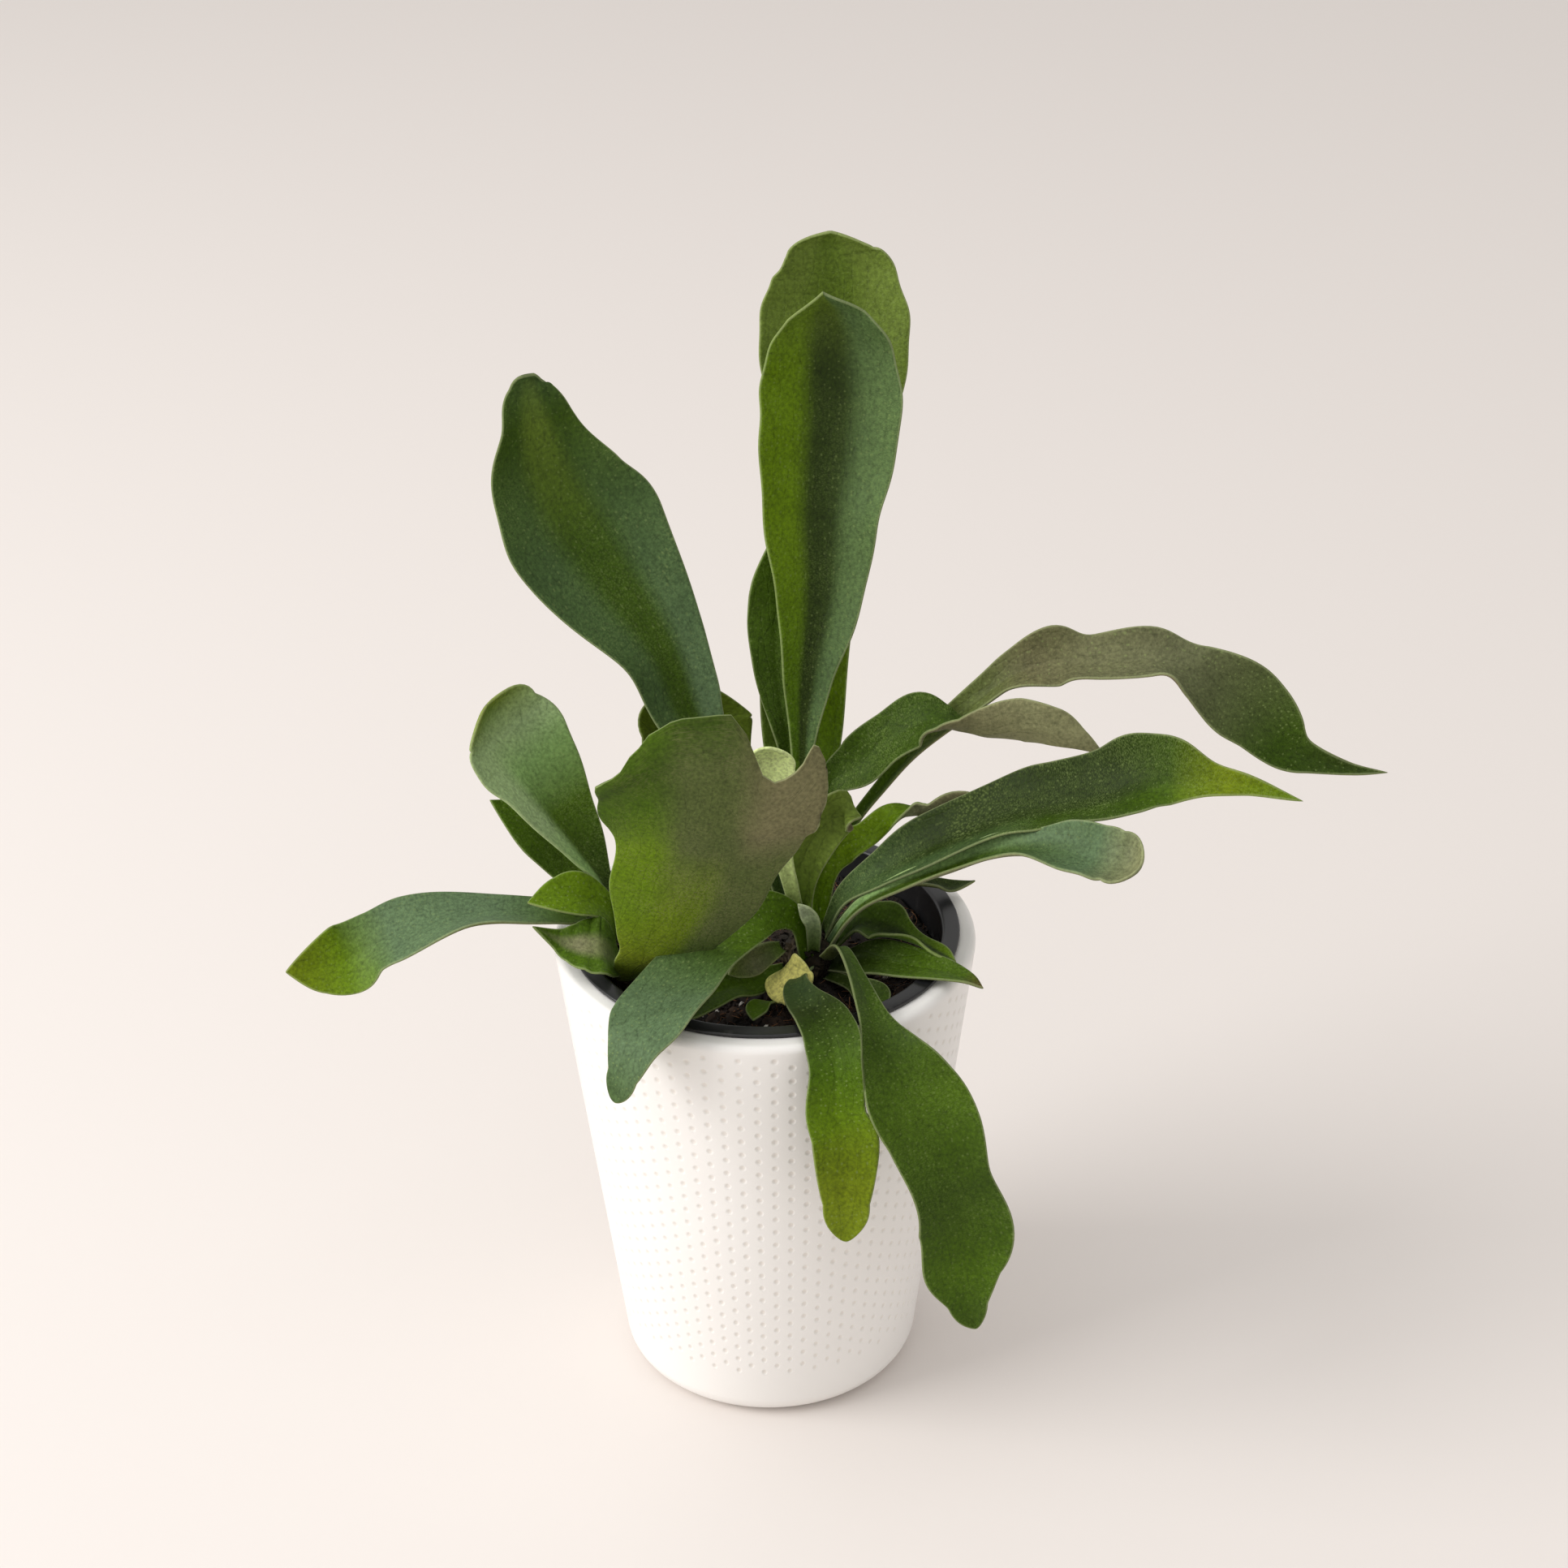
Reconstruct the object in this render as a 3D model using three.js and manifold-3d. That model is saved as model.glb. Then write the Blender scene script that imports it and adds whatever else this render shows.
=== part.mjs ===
// A staghorn fern (Platycerium) in a plastic nursery pot that hangs by its flange in a ceramic cover pot.
// Millimetres, +Z up. The origin is the centre of the cover pot's foot, on the surface it stands on.
import * as THREE from 'three';
import Module from 'manifold-3d';
import { mergeVertices } from 'three/addons/utils/BufferGeometryUtils.js';

const wasm = await Module();
wasm.setup();

// ---- Driving dimensions ----
const CLEARANCE = 0.3; // between two pieces that rest on each other
const RIM_RADIUS = 70; // cover pot, outside, at the rim
const COVER_HEIGHT = 166;
const COVER_WALL = 7;
const COVER_FLOOR = 6;
const FOOT_RATIO = 0.73; // foot radius over rim radius: the taper
const FOOT_ROUND = 9;
const RIM_ROUND = 2.5;
const FLANGE_LAP = 1.7; // how far the nursery pot's flange reaches over the ceramic rim
const FLANGE_WIDTH = 6;
const NURSERY_WALL = 1.2;
const RESERVE_RATIO = 0.3; // height of the nursery pot's base, as a share of the cover pot's height
const NURSERY_TAPER = 0.77; // base radius over top radius
const DRAIN_HOLES = 6;
const DRAIN_RADIUS = 4.5;
const DRAIN_CIRCLE = 0.7; // radius of the ring of holes over the base radius
const MIX_BELOW_RIM = 14; // watering space above the potting mix
const RHIZOME_RADIUS = 9;
const FROND_THICKNESS = 1.2;
const TIP_WIDTH = 1;
const NARROW_BLADE = 12; // a narrower blade needs fewer lengthwise lines
const ROUND_SEGMENTS = 48;
const ROW_LENGTH = 9; // spacing of the cross-sections along a frond
const DRAWN_RIM_RADIUS = 70; // the rim radius that the frond stations below are given for

const SPREAD = RIM_RADIUS / DRAWN_RIM_RADIUS; // the plant is as wide as the pot it has filled
const MIX_TOP = COVER_HEIGHT - MIX_BELOW_RIM;
const DEGREE = Math.PI / 180;

// ---- Materials ----
const CERAMIC = new THREE.MeshStandardMaterial({ color: 0xece6dc, roughness: 0.45, metalness: 0 });
const BLACK_PLASTIC = new THREE.MeshStandardMaterial({ color: 0x2b2b2d, roughness: 0.4, metalness: 0 });
const POTTING_MIX = new THREE.MeshStandardMaterial({ color: 0x2a1c14, roughness: 0.95, metalness: 0 });
const RHIZOME = new THREE.MeshStandardMaterial({ color: 0x6b5234, roughness: 0.9, metalness: 0 });
const FROND_DARK = new THREE.MeshStandardMaterial({ color: 0x3f5a2c, roughness: 0.6, metalness: 0 });
const FROND_BRIGHT = new THREE.MeshStandardMaterial({ color: 0x6d9420, roughness: 0.6, metalness: 0 });
const FROND_SILVER = new THREE.MeshStandardMaterial({ color: 0x7fa37a, roughness: 0.65, metalness: 0 });
const FROND_OLD = new THREE.MeshStandardMaterial({ color: 0xa89a5a, roughness: 0.75, metalness: 0 });

// ---- The plant ----
// Two growing points stand in the mix. Positions are [x, y, height above the cover pot's rim].
const RHIZOMES = [
  { name: 'rhizome_main', centre: [14, -2, -8] },
  { name: 'rhizome_left', centre: [-44, -6, -11] },
];

// A frond is a strap along a spine. Each station of the spine is [x, y, height above the rim, width, roll].
// Roll, in degrees, turns the blade about the spine from lying level across the frond's bearing, the
// direction that it grows in (0 is +X, 90 is +Y). Cup sinks the middle below the two edges, as a share of
// half the width. A crest gives a forked blade's upper outline as [s, share], with s from -1 at one edge
// to 1 at the other and share the part of the spine that the blade reaches there.
const FRONDS = [
  {
    name: 'frond_tall_front', material: FROND_DARK, bearing: 90, cup: 0.45,
    spine: [[13, 4, 0, 5, 0], [13, 6, 28, 5, 0], [13, 9, 60, 7, 0], [15, 15, 85, 16, 0],
      [19, 22, 111, 28, 0], [20, 29, 139, 38, 0], [23, 37, 166, 45, 0], [23, 42, 186, 41, 0],
      [22, 44, 199, 25, 0], [21, 45, 207, 0, 0]],
  },
  {
    name: 'frond_tall_back', material: FROND_DARK, bearing: 90, cup: 0.3,
    spine: [[14, 8, -3, 5, 0], [13, 14, 28, 8, 0], [13, 22, 56, 25, 0], [15, 36, 98, 30, 0],
      [20, 46, 128, 29, 0], [24, 57, 158, 41, 0], [25, 66, 184, 49, 0], [25, 72, 201, 41, 0],
      [24, 75, 209, 28, 0], [24, 77, 215, 0, 0]],
  },
  {
    name: 'frond_tall_middle', material: FROND_DARK, bearing: 100, cup: 0.2,
    spine: [[9, 6, -3, 5, 0], [9, 10, 28, 5, -5], [9, 15, 58, 7, -10], [6, 19, 78, 13, -10],
      [5, 24, 96, 18, -10], [6, 29, 112, 18, -10], [6, 34, 131, 0, 0]],
  },
  {
    name: 'frond_upper_left', material: FROND_DARK, bearing: 135, cup: 0.25,
    spine: [[8, 3, -1, 5, 0], [3, 6, 20, 6, -5], [-5, 9, 40, 9, -10], [-14, 12, 56, 15, -15],
      [-23, 15, 73, 23, -20], [-32, 21, 97, 32, -20], [-53, 32, 127, 52, -25], [-65, 40, 145, 44, -25],
      [-70, 46, 163, 27, -15], [-72, 50, 174, 16, -10], [-71, 51, 178, 0, 0]],
  },
  {
    name: 'frond_back_left', material: FROND_OLD, bearing: 115, cup: 0.2,
    spine: [[7, 7, -3, 5, 0], [0, 13, 14, 8, 0], [-9, 19, 32, 14, 0], [-17, 27, 46, 30, -5],
      [-22, 33, 59, 38, -5], [-22, 40, 72, 0, 0]],
  },
  {
    name: 'frond_front_broad', material: FROND_BRIGHT, bearing: 262, cup: 0.1,
    spine: [[-46, -12, -11, 5, 5], [-46, -18, -6, 7, 5], [-42, -25, 3, 15, 5], [-34, -32, 14, 28, 5],
      [-26, -42, 37, 46, 5], [-19, -52, 62, 54, 5], [-17, -58, 76, 66, 5], [-15, -61, 90, 71, 10],
      [-15, -61, 102, 69, 10], [-16, -59, 114, 66, 10]],
    crest: [[-1, 0.78], [-0.96, 0.88], [-0.9, 0.89], [-0.78, 0.84], [-0.66, 0.81], [-0.5, 0.8],
      [-0.4, 0.83], [-0.35, 0.91], [-0.3, 0.98], [-0.2, 1], [0.26, 1], [0.5, 0.97], [0.65, 0.92],
      [0.85, 0.81], [1, 0.74]],
  },
  {
    name: 'frond_front_arching', material: FROND_BRIGHT, bearing: 225, cup: 0.12,
    spine: [[14, -10, -6, 5, -110], [11, -11, 10, 8, -85], [2, -17, 18, 14, -55],
      [-7, -25, 18, 18, -25], [-18, -35, 15, 24, 0], [-28, -47, 10, 30, 5], [-35, -60, 8, 31, 10],
      [-41, -69, 3, 23, 0], [-45, -74, -7, 12, -5], [-48, -75, -16, 0, 0]],
  },
  {
    name: 'frond_front_long', material: FROND_DARK, bearing: 305, cup: 0.35,
    spine: [[20, -11, -4, 5, -30], [25, -20, 6, 5, -25], [30, -38, 6, 7, -20], [34, -57, 5, 10, -5],
      [39, -69, -1, 19, 20], [45, -78, -10, 30, 20], [53, -84, -24, 31, 25], [58, -88, -40, 26, 25],
      [63, -90, -57, 30, 30], [62, -90, -74, 25, 35], [64, -89, -88, 13, 35], [67, -88, -98, 0, 30]],
  },
  {
    name: 'frond_front_short', material: FROND_BRIGHT, bearing: 282, cup: 0.2,
    spine: [[14, -13, -7, 5, 20], [10, -28, -2, 8, 20], [12, -42, 1, 12, 15], [18, -59, 5, 17, 10],
      [21, -69, 3, 18, 10], [22, -77, -4, 17, 15], [22, -82, -17, 19, 10], [25, -84, -28, 21, 10],
      [25, -85, -50, 15, 10], [25, -83, -66, 0, 10]],
  },
  {
    name: 'frond_right_long', material: FROND_BRIGHT, bearing: 20, cup: 0.5,
    spine: [[18, 5, 0, 5, 30], [22, 9, 16, 4, 30], [28, 11, 32, 4, 30], [38, 12, 47, 5, 15],
      [51, 13, 63, 7, 15], [72, 12, 83, 11, 10], [81, 11, 91, 15, 20], [94, 10, 96, 20, 40],
      [106, 8, 97, 18, 25], [127, 4, 100, 19, 25], [139, 2, 94, 19, 55], [150, 0, 87, 25, 80],
      [160, -2, 79, 24, 90], [169, -4, 69, 16, 85], [177, -5, 65, 9, 70], [189, -6, 62, 4, 60],
      [201, -7, 61, 0, 60]],
  },
  {
    name: 'frond_right_teal', material: FROND_SILVER, bearing: 355, cup: 0.45,
    spine: [[19, -5, 1, 5, 25], [25, -10, 19, 8, 25], [36, -14, 31, 14, 25], [49, -18, 43, 21, 20],
      [76, -26, 62, 26, 15], [92, -30, 68, 27, 20], [106, -33, 73, 27, 25], [118, -36, 79, 26, 40],
      [128, -38, 80, 21, 50], [140, -40, 78, 11, 50], [152, -41, 76, 6, 50], [168, -42, 71, 0, 50]],
  },
  {
    name: 'frond_right_twist', material: FROND_SILVER, bearing: 25, cup: 0.3,
    spine: [[17, 2, 1, 5, 50], [19, 6, 29, 6, 45], [22, 8, 50, 10, 35], [31, 8, 59, 17, 30],
      [40, 6, 69, 18, 20], [50, 4, 77, 20, 10], [58, 1, 79, 18, -5], [65, -1, 79, 20, -30],
      [72, -3, 79, 22, -55], [83, -5, 81, 21, -70], [92, -7, 80, 17, -65], [101, -9, 76, 8, -65],
      [109, -10, 71, 0, -60]],
  },
  {
    name: 'frond_right_bright', material: FROND_BRIGHT, bearing: 25, cup: 0.2,
    spine: [[18, 0, 1, 5, 50], [20, 0, 21, 8, 55], [25, 0, 31, 12, 55], [33, 0, 36, 9, 40],
      [41, -1, 44, 9, 10], [49, -2, 47, 14, -35], [55, -4, 48, 14, -60], [64, -6, 52, 10, -70],
      [84, -10, 52, 0, -60]],
  },
  {
    name: 'frond_right_round', material: FROND_DARK, bearing: 345, cup: 0.6,
    spine: [[20, -9, -1, 5, 20], [26, -16, 14, 5, 20], [33, -20, 24, 6, 20], [45, -25, 34, 7, 20],
      [59, -30, 43, 8, 20], [71, -37, 53, 10, 10], [82, -45, 60, 13, 10], [92, -53, 64, 17, 25],
      [100, -59, 65, 20, 25], [107, -63, 65, 18, 30], [115, -68, 64, 0, 30]],
  },
  {
    name: 'frond_right_rim', material: FROND_DARK, bearing: 12, cup: 0.3,
    spine: [[21, 2, -5, 4, 30], [33, 8, 6, 5, 30], [46, 15, 9, 6, 10], [57, 18, 7, 6, 5],
      [63, 19, 5, 6, 5], [71, 20, 6, 0, 0]],
  },
  {
    name: 'frond_right_folded', material: FROND_DARK, bearing: 350, cup: 0.5,
    spine: [[22, -3, -5, 5, 10], [30, -4, 6, 11, 10], [38, -7, 8, 18, 10], [44, -12, 8, 12, 5],
      [51, -17, 7, 8, -15], [57, -23, 6, 7, -5], [62, -29, 5, 0, 0]],
  },
  {
    name: 'frond_right_low', material: FROND_DARK, bearing: 335, cup: 0.25,
    spine: [[21, -9, -8, 5, 30], [28, -13, -4, 10, 30], [36, -17, 0, 15, 20], [46, -25, 3, 15, 15],
      [56, -32, 5, 11, 5], [65, -38, 5, 6, 5], [70, -43, 4, 0, 0]],
  },
  {
    name: 'frond_right_inner', material: FROND_DARK, bearing: 320, cup: 0.2,
    spine: [[20, -10, -11, 4, 30], [28, -22, -7, 5, 30], [33, -29, -6, 10, 30], [37, -34, -5, 9, 30],
      [40, -38, -5, 0, 30]],
  },
  {
    name: 'frond_left_oval', material: FROND_SILVER, bearing: 170, cup: 0.4,
    spine: [[-49, -2, -7, 5, 0], [-50, 0, 6, 6, -5], [-52, 2, 18, 8, -10], [-58, 5, 30, 17, -25],
      [-65, 8, 42, 26, -30], [-72, 11, 54, 34, -30], [-78, 13, 63, 38, -35], [-84, 16, 71, 33, -30],
      [-89, 17, 77, 0, -25]],
  },
  {
    name: 'frond_left_under', material: FROND_SILVER, bearing: 175, cup: 0.1,
    spine: [[-48, 3, -7, 5, 0], [-54, 12, 10, 10, -25], [-65, 16, 17, 15, -40], [-76, 20, 29, 18, -40],
      [-91, 23, 38, 0, -30]],
  },
  {
    name: 'frond_left_small', material: FROND_BRIGHT, bearing: 190, cup: 0.2,
    spine: [[-50, -8, -5, 4, 0], [-50, -7, 11, 8, -35], [-58, -9, 20, 16, -30], [-67, -12, 22, 13, -30],
      [-77, -15, 21, 0, -30]],
  },
  {
    name: 'frond_left_long', material: FROND_DARK, bearing: 182, cup: 0.25,
    spine: [[-51, -4, -7, 5, 0], [-57, -3, 5, 6, 0], [-66, -4, 10, 11, -5], [-77, -5, 12, 16, 0],
      [-97, -7, 14, 26, 5], [-118, -10, 10, 27, -15], [-129, -12, 5, 23, -35], [-137, -14, 0, 24, -55],
      [-146, -16, -2, 18, -60], [-157, -19, -2, 0, -55]],
  },
  {
    name: 'frond_left_low', material: FROND_DARK, bearing: 200, cup: 0.15,
    spine: [[-47, -13, -6, 6, -20], [-51, -22, 8, 22, -25], [-57, -23, 10, 22, -25],
      [-63, -22, 10, 14, -30], [-68, -21, 11, 7, -40], [-75, -23, 17, 0, -30]],
  },
  {
    name: 'frond_young_centre', material: FROND_SILVER, bearing: 95, cup: 0.3,
    spine: [[12, -3, 2, 4, 0], [9, -7, 20, 5, 0], [6, -9, 35, 7, -5], [3, -12, 56, 16, -5],
      [2, -13, 67, 17, -5], [1, -15, 77, 0, 0]],
  },
  {
    name: 'frond_centre_olive', material: FROND_OLD, bearing: 60, cup: 0.3,
    spine: [[14, -6, 2, 4, 30], [12, -5, 14, 8, 30], [13, -5, 28, 13, 30], [19, -5, 41, 16, 35],
      [26, -5, 48, 15, 50], [32, -5, 46, 0, 45]],
  },
  {
    name: 'frond_grey_curl', material: FROND_SILVER, bearing: 130, cup: 0.4,
    spine: [[16, -10, -3, 4, -40], [16, -13, 9, 5, -40], [14, -13, 14, 5, -45], [11, -13, 18, 0, -40]],
  },
  {
    name: 'frond_under_arch', material: FROND_DARK, bearing: 220, cup: 0.2,
    spine: [[7, -9, -9, 4, -30], [-3, -17, -9, 10, -30], [-12, -26, -5, 11, -25],
      [-19, -36, -3, 10, -20], [-24, -44, -3, 7, -15], [-28, -49, -4, 0, 0]],
  },
  {
    name: 'frond_yellow', material: FROND_OLD, bearing: 275, cup: 0.15,
    spine: [[10, -9, -8, 5, 20], [5, -16, -5, 12, 40], [6, -22, -4, 17, 50], [10, -27, -5, 14, 30],
      [13, -30, -6, 0, 10]],
  },
  {
    name: 'frond_wrinkled', material: FROND_SILVER, bearing: 250, cup: 0.4,
    spine: [[6, -10, 0, 4, -40], [2, -15, 1, 7, -60], [-3, -19, 0, 10, -70], [-8, -22, -1, 7, -70],
      [-12, -24, -2, 0, -60]],
  },
  {
    name: 'frond_seedling', material: FROND_BRIGHT, bearing: 265, cup: 0.2,
    spine: [[3, -24, -13, 3, 0], [-1, -31, -8, 6, -5], [-3, -37, -7, 7, -5], [-4, -42, -8, 0, 0]],
  },
];

// ---- Solids and meshes ----
// A closed geometry as a manifold solid.
function solidOf(geometry) {
  const bare = geometry.clone();
  bare.deleteAttribute('normal');
  bare.deleteAttribute('uv');
  const merged = mergeVertices(bare, 1e-4);
  return new wasm.Manifold(new wasm.Mesh({
    numProp: 3,
    vertProperties: merged.attributes.position.array,
    triVerts: new Uint32Array(merged.index.array),
  }));
}

// A manifold solid as a named, flat-shaded mesh.
function meshOf(solid, name, material) {
  const { vertProperties, triVerts } = solid.getMesh();
  const geometry = new THREE.BufferGeometry();
  geometry.setAttribute('position', new THREE.BufferAttribute(vertProperties, 3));
  geometry.setIndex(new THREE.BufferAttribute(triVerts, 1));
  const flat = geometry.toNonIndexed();
  flat.computeVertexNormals();
  const mesh = new THREE.Mesh(flat, material);
  mesh.name = name;
  return mesh;
}

// A solid of revolution about Z. The profile lists [radius, z] from the bottom of the axis, round the
// outside, to the top of the axis.
function turned(profile) {
  const points = profile.map(([radius, z]) => new THREE.Vector2(radius, z));
  return solidOf(new THREE.LatheGeometry(points, ROUND_SEGMENTS).rotateX(Math.PI / 2));
}

// Points of a round corner about (radius, z), from one angle to another in degrees.
function roundCorner(radius, z, size, from, to, steps = 4) {
  return Array.from({ length: steps + 1 }, (_, k) => {
    const angle = (from + ((to - from) * k) / steps) * DEGREE;
    return [radius + size * Math.cos(angle), z + size * Math.sin(angle)];
  });
}

// ---- Cover pot ----
const FOOT_RADIUS = RIM_RADIUS * FOOT_RATIO;
const TAPER_ANGLE = Math.atan2(RIM_RADIUS - FOOT_RADIUS, COVER_HEIGHT) / DEGREE;

function coverPot() {
  const lipZ = COVER_HEIGHT - RIM_ROUND;
  const innerRim = RIM_RADIUS - COVER_WALL;
  const innerFoot = FOOT_RADIUS - COVER_WALL;
  return turned([
    [0, 0],
    ...roundCorner(FOOT_RADIUS - FOOT_ROUND, FOOT_ROUND, FOOT_ROUND, -90, -TAPER_ANGLE),
    ...roundCorner(RIM_RADIUS - RIM_ROUND, lipZ, RIM_ROUND, -TAPER_ANGLE, 90),
    [innerRim + 1, COVER_HEIGHT],
    [innerRim, COVER_HEIGHT - 1],
    ...roundCorner(innerFoot - FOOT_ROUND, COVER_FLOOR + FOOT_ROUND, FOOT_ROUND, -TAPER_ANGLE, -90),
    [0, COVER_FLOOR],
  ]);
}

// ---- Nursery pot ----
const FLANGE_RADIUS = RIM_RADIUS - COVER_WALL + FLANGE_LAP;
const FLANGE_TOP = COVER_HEIGHT + CLEARANCE + NURSERY_WALL;
const NURSERY_RADIUS = FLANGE_RADIUS - FLANGE_WIDTH + NURSERY_WALL;
const NURSERY_BASE_RADIUS = NURSERY_RADIUS * NURSERY_TAPER;
const NURSERY_BASE = COVER_HEIGHT * RESERVE_RATIO;

function nurseryPot() {
  const shell = turned([
    [0, NURSERY_BASE],
    [NURSERY_BASE_RADIUS, NURSERY_BASE],
    [NURSERY_RADIUS, COVER_HEIGHT + CLEARANCE],
    [FLANGE_RADIUS, COVER_HEIGHT + CLEARANCE],
    [FLANGE_RADIUS, FLANGE_TOP],
    [NURSERY_RADIUS - NURSERY_WALL, FLANGE_TOP],
    [NURSERY_BASE_RADIUS - NURSERY_WALL, NURSERY_BASE + NURSERY_WALL],
    [0, NURSERY_BASE + NURSERY_WALL],
  ]);
  const holeCircle = NURSERY_BASE_RADIUS * DRAIN_CIRCLE;
  const angles = Array.from({ length: DRAIN_HOLES }, (_, k) => (k * 2 * Math.PI) / DRAIN_HOLES);
  return angles.reduce((pot, angle) => {
    const hole = new THREE.CylinderGeometry(DRAIN_RADIUS, DRAIN_RADIUS, 4 * NURSERY_WALL, 10);
    hole.rotateX(Math.PI / 2);
    hole.translate(holeCircle * Math.cos(angle), holeCircle * Math.sin(angle), NURSERY_BASE);
    return pot.subtract(solidOf(hole));
  }, shell);
}

// ---- Potting mix and rhizomes ----
function nurseryInside(z) {
  const share = (z - NURSERY_BASE) / (FLANGE_TOP - NURSERY_BASE);
  const outside = THREE.MathUtils.lerp(NURSERY_BASE_RADIUS, NURSERY_RADIUS, share);
  return outside - NURSERY_WALL - 2 * CLEARANCE;
}

function pottingMix() {
  const bottom = NURSERY_BASE + NURSERY_WALL + CLEARANCE;
  return turned([
    [0, bottom],
    [nurseryInside(bottom), bottom],
    [nurseryInside(MIX_TOP - 1), MIX_TOP - 1],
    [nurseryInside(MIX_TOP) * 0.6, MIX_TOP],
    [0, MIX_TOP],
  ]);
}

// Everything that the fronds stay out of: both pots' walls and rims and the mix, with the clearance.
function potKeepOut() {
  const wallInside = (z) => nurseryInside(z) + CLEARANCE;
  return turned([
    [0, -CLEARANCE],
    [FOOT_RADIUS + CLEARANCE, -CLEARANCE],
    ...roundCorner(RIM_RADIUS - RIM_ROUND, COVER_HEIGHT - RIM_ROUND, RIM_ROUND + CLEARANCE, 0, 90),
    [FLANGE_RADIUS + CLEARANCE, COVER_HEIGHT + CLEARANCE],
    [FLANGE_RADIUS + CLEARANCE, FLANGE_TOP + CLEARANCE],
    [wallInside(FLANGE_TOP), FLANGE_TOP + CLEARANCE],
    [wallInside(MIX_TOP), MIX_TOP + CLEARANCE],
    [0, MIX_TOP + CLEARANCE],
  ]);
}

function rhizome({ centre: [x, y, height] }, grow = 0) {
  const ball = new THREE.SphereGeometry(RHIZOME_RADIUS * SPREAD + grow, 16, 10);
  return solidOf(ball.translate(x * SPREAD, y * SPREAD, COVER_HEIGHT + height));
}

// ---- Fronds ----
// The station at u, a number of spans from the base: a Catmull-Rom curve through all five values.
function stationAt(spine, u) {
  const last = spine.length - 1;
  const span = Math.min(Math.floor(u), last - 1);
  const t = u - span;
  const at = (k, value) => {
    if (k < 0) return 2 * spine[0][value] - spine[1][value];
    if (k > last) return 2 * spine[last][value] - spine[last - 1][value];
    return spine[k][value];
  };
  return spine[0].map((_, value) => {
    const [a, b, c, d] = [-1, 0, 1, 2].map((step) => at(span + step, value));
    return b + 0.5 * t * (c - a + t * (2 * a - 5 * b + 4 * c - d + t * (3 * b - a - 3 * c + d)));
  });
}

// The spine's length, to choose how many cross-sections it needs.
function spineLength(spine) {
  const points = spine.map(([x, y, z]) => new THREE.Vector3(x, y, z));
  return points.slice(1).reduce((sum, point, k) => sum + point.distanceTo(points[k]), 0);
}

// A cross-section: where it is, and its across, along and upward directions.
function sectionAt(spine, u, bearing) {
  const last = spine.length - 1;
  const step = 0.05;
  const position = (v) => {
    const [x, y, height] = stationAt(spine, THREE.MathUtils.clamp(v, 0, last));
    return new THREE.Vector3(x * SPREAD, y * SPREAD, COVER_HEIGHT + height);
  };
  const [, , , width, roll] = stationAt(spine, u);
  const along = position(u + step).sub(position(u - step)).normalize();
  const across = new THREE.Vector3(Math.sin(bearing * DEGREE), -Math.cos(bearing * DEGREE), 0);
  across.addScaledVector(along, -across.dot(along)).normalize();
  across.applyAxisAngle(along, roll * DEGREE);
  const up = new THREE.Vector3().crossVectors(across, along);
  return { centre: position(u), width: Math.max(width * SPREAD, TIP_WIDTH), along, across, up };
}

// Where the blade's lengthwise lines run and how far each reaches: a crest, or evenly across the blade.
function linesAcross({ spine, crest }) {
  if (crest) return crest;
  const widest = Math.max(...spine.map((station) => station[3]));
  const columns = widest > NARROW_BLADE ? 4 : 2;
  return Array.from({ length: columns + 1 }, (_, j) => [(2 * j) / columns - 1, 1]);
}

// One frond: a grid of points on the cupped blade, given thickness and closed round its edge. grow makes
// the solid larger all round, to cut a clearance with.
function frond(row, grow = 0) {
  const last = row.spine.length - 1;
  const rows = Math.max(4, Math.round(spineLength(row.spine) / ROW_LENGTH));
  const lines = linesAcross(row);
  const corners = [];
  for (let side = 1; side >= -1; side -= 2) {
    for (let i = 0; i <= rows; i += 1) {
      const t = i / rows;
      const end = i === 0 ? -grow : i === rows ? grow : 0;
      lines.forEach(([s, share]) => {
        const reach = t - (1 - share) * t ** 3;
        const section = sectionAt(row.spine, reach * last, row.bearing);
        const half = section.width / 2;
        const normal = section.up.clone().addScaledVector(section.across, -2 * row.cup * s).normalize();
        corners.push(section.centre.clone()
          .addScaledVector(section.across, s * (half + grow))
          .addScaledVector(section.up, row.cup * half * (s * s - 1))
          .addScaledVector(section.along, end)
          .addScaledVector(normal, side * (FROND_THICKNESS / 2 + grow)));
      });
    }
  }
  return solidOf(closedGrid(corners, rows, lines.length - 1));
}

// The skin of a grid that lists its upper side and then its lower side, row by row.
function closedGrid(corners, rows, columns) {
  const wide = columns + 1;
  const under = (rows + 1) * wide;
  const faces = [];
  const quad = (a, b, c, d) => faces.push(a, b, c, a, c, d);
  for (let i = 0; i < rows; i += 1) {
    for (let j = 0; j < columns; j += 1) {
      const a = i * wide + j;
      quad(a, a + 1, a + wide + 1, a + wide);
      quad(under + a, under + a + wide, under + a + wide + 1, under + a + 1);
    }
    const left = i * wide;
    const right = left + columns;
    quad(left, left + wide, under + left + wide, under + left);
    quad(right, under + right, under + right + wide, right + wide);
  }
  for (let j = 0; j < columns; j += 1) {
    const tip = rows * wide + j;
    quad(j, under + j, under + j + 1, j + 1);
    quad(tip, tip + 1, under + tip + 1, under + tip);
  }
  const geometry = new THREE.BufferGeometry().setFromPoints(corners);
  geometry.setIndex(faces);
  return geometry;
}

// What is left of a solid when it clears its neighbours: the largest piece.
function cleared(solid, neighbours) {
  const cut = neighbours.reduce((rest, neighbour) => rest.subtract(neighbour), solid);
  return cut.decompose().reduce((best, piece) => (piece.volume() > best.volume() ? piece : best));
}

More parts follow.
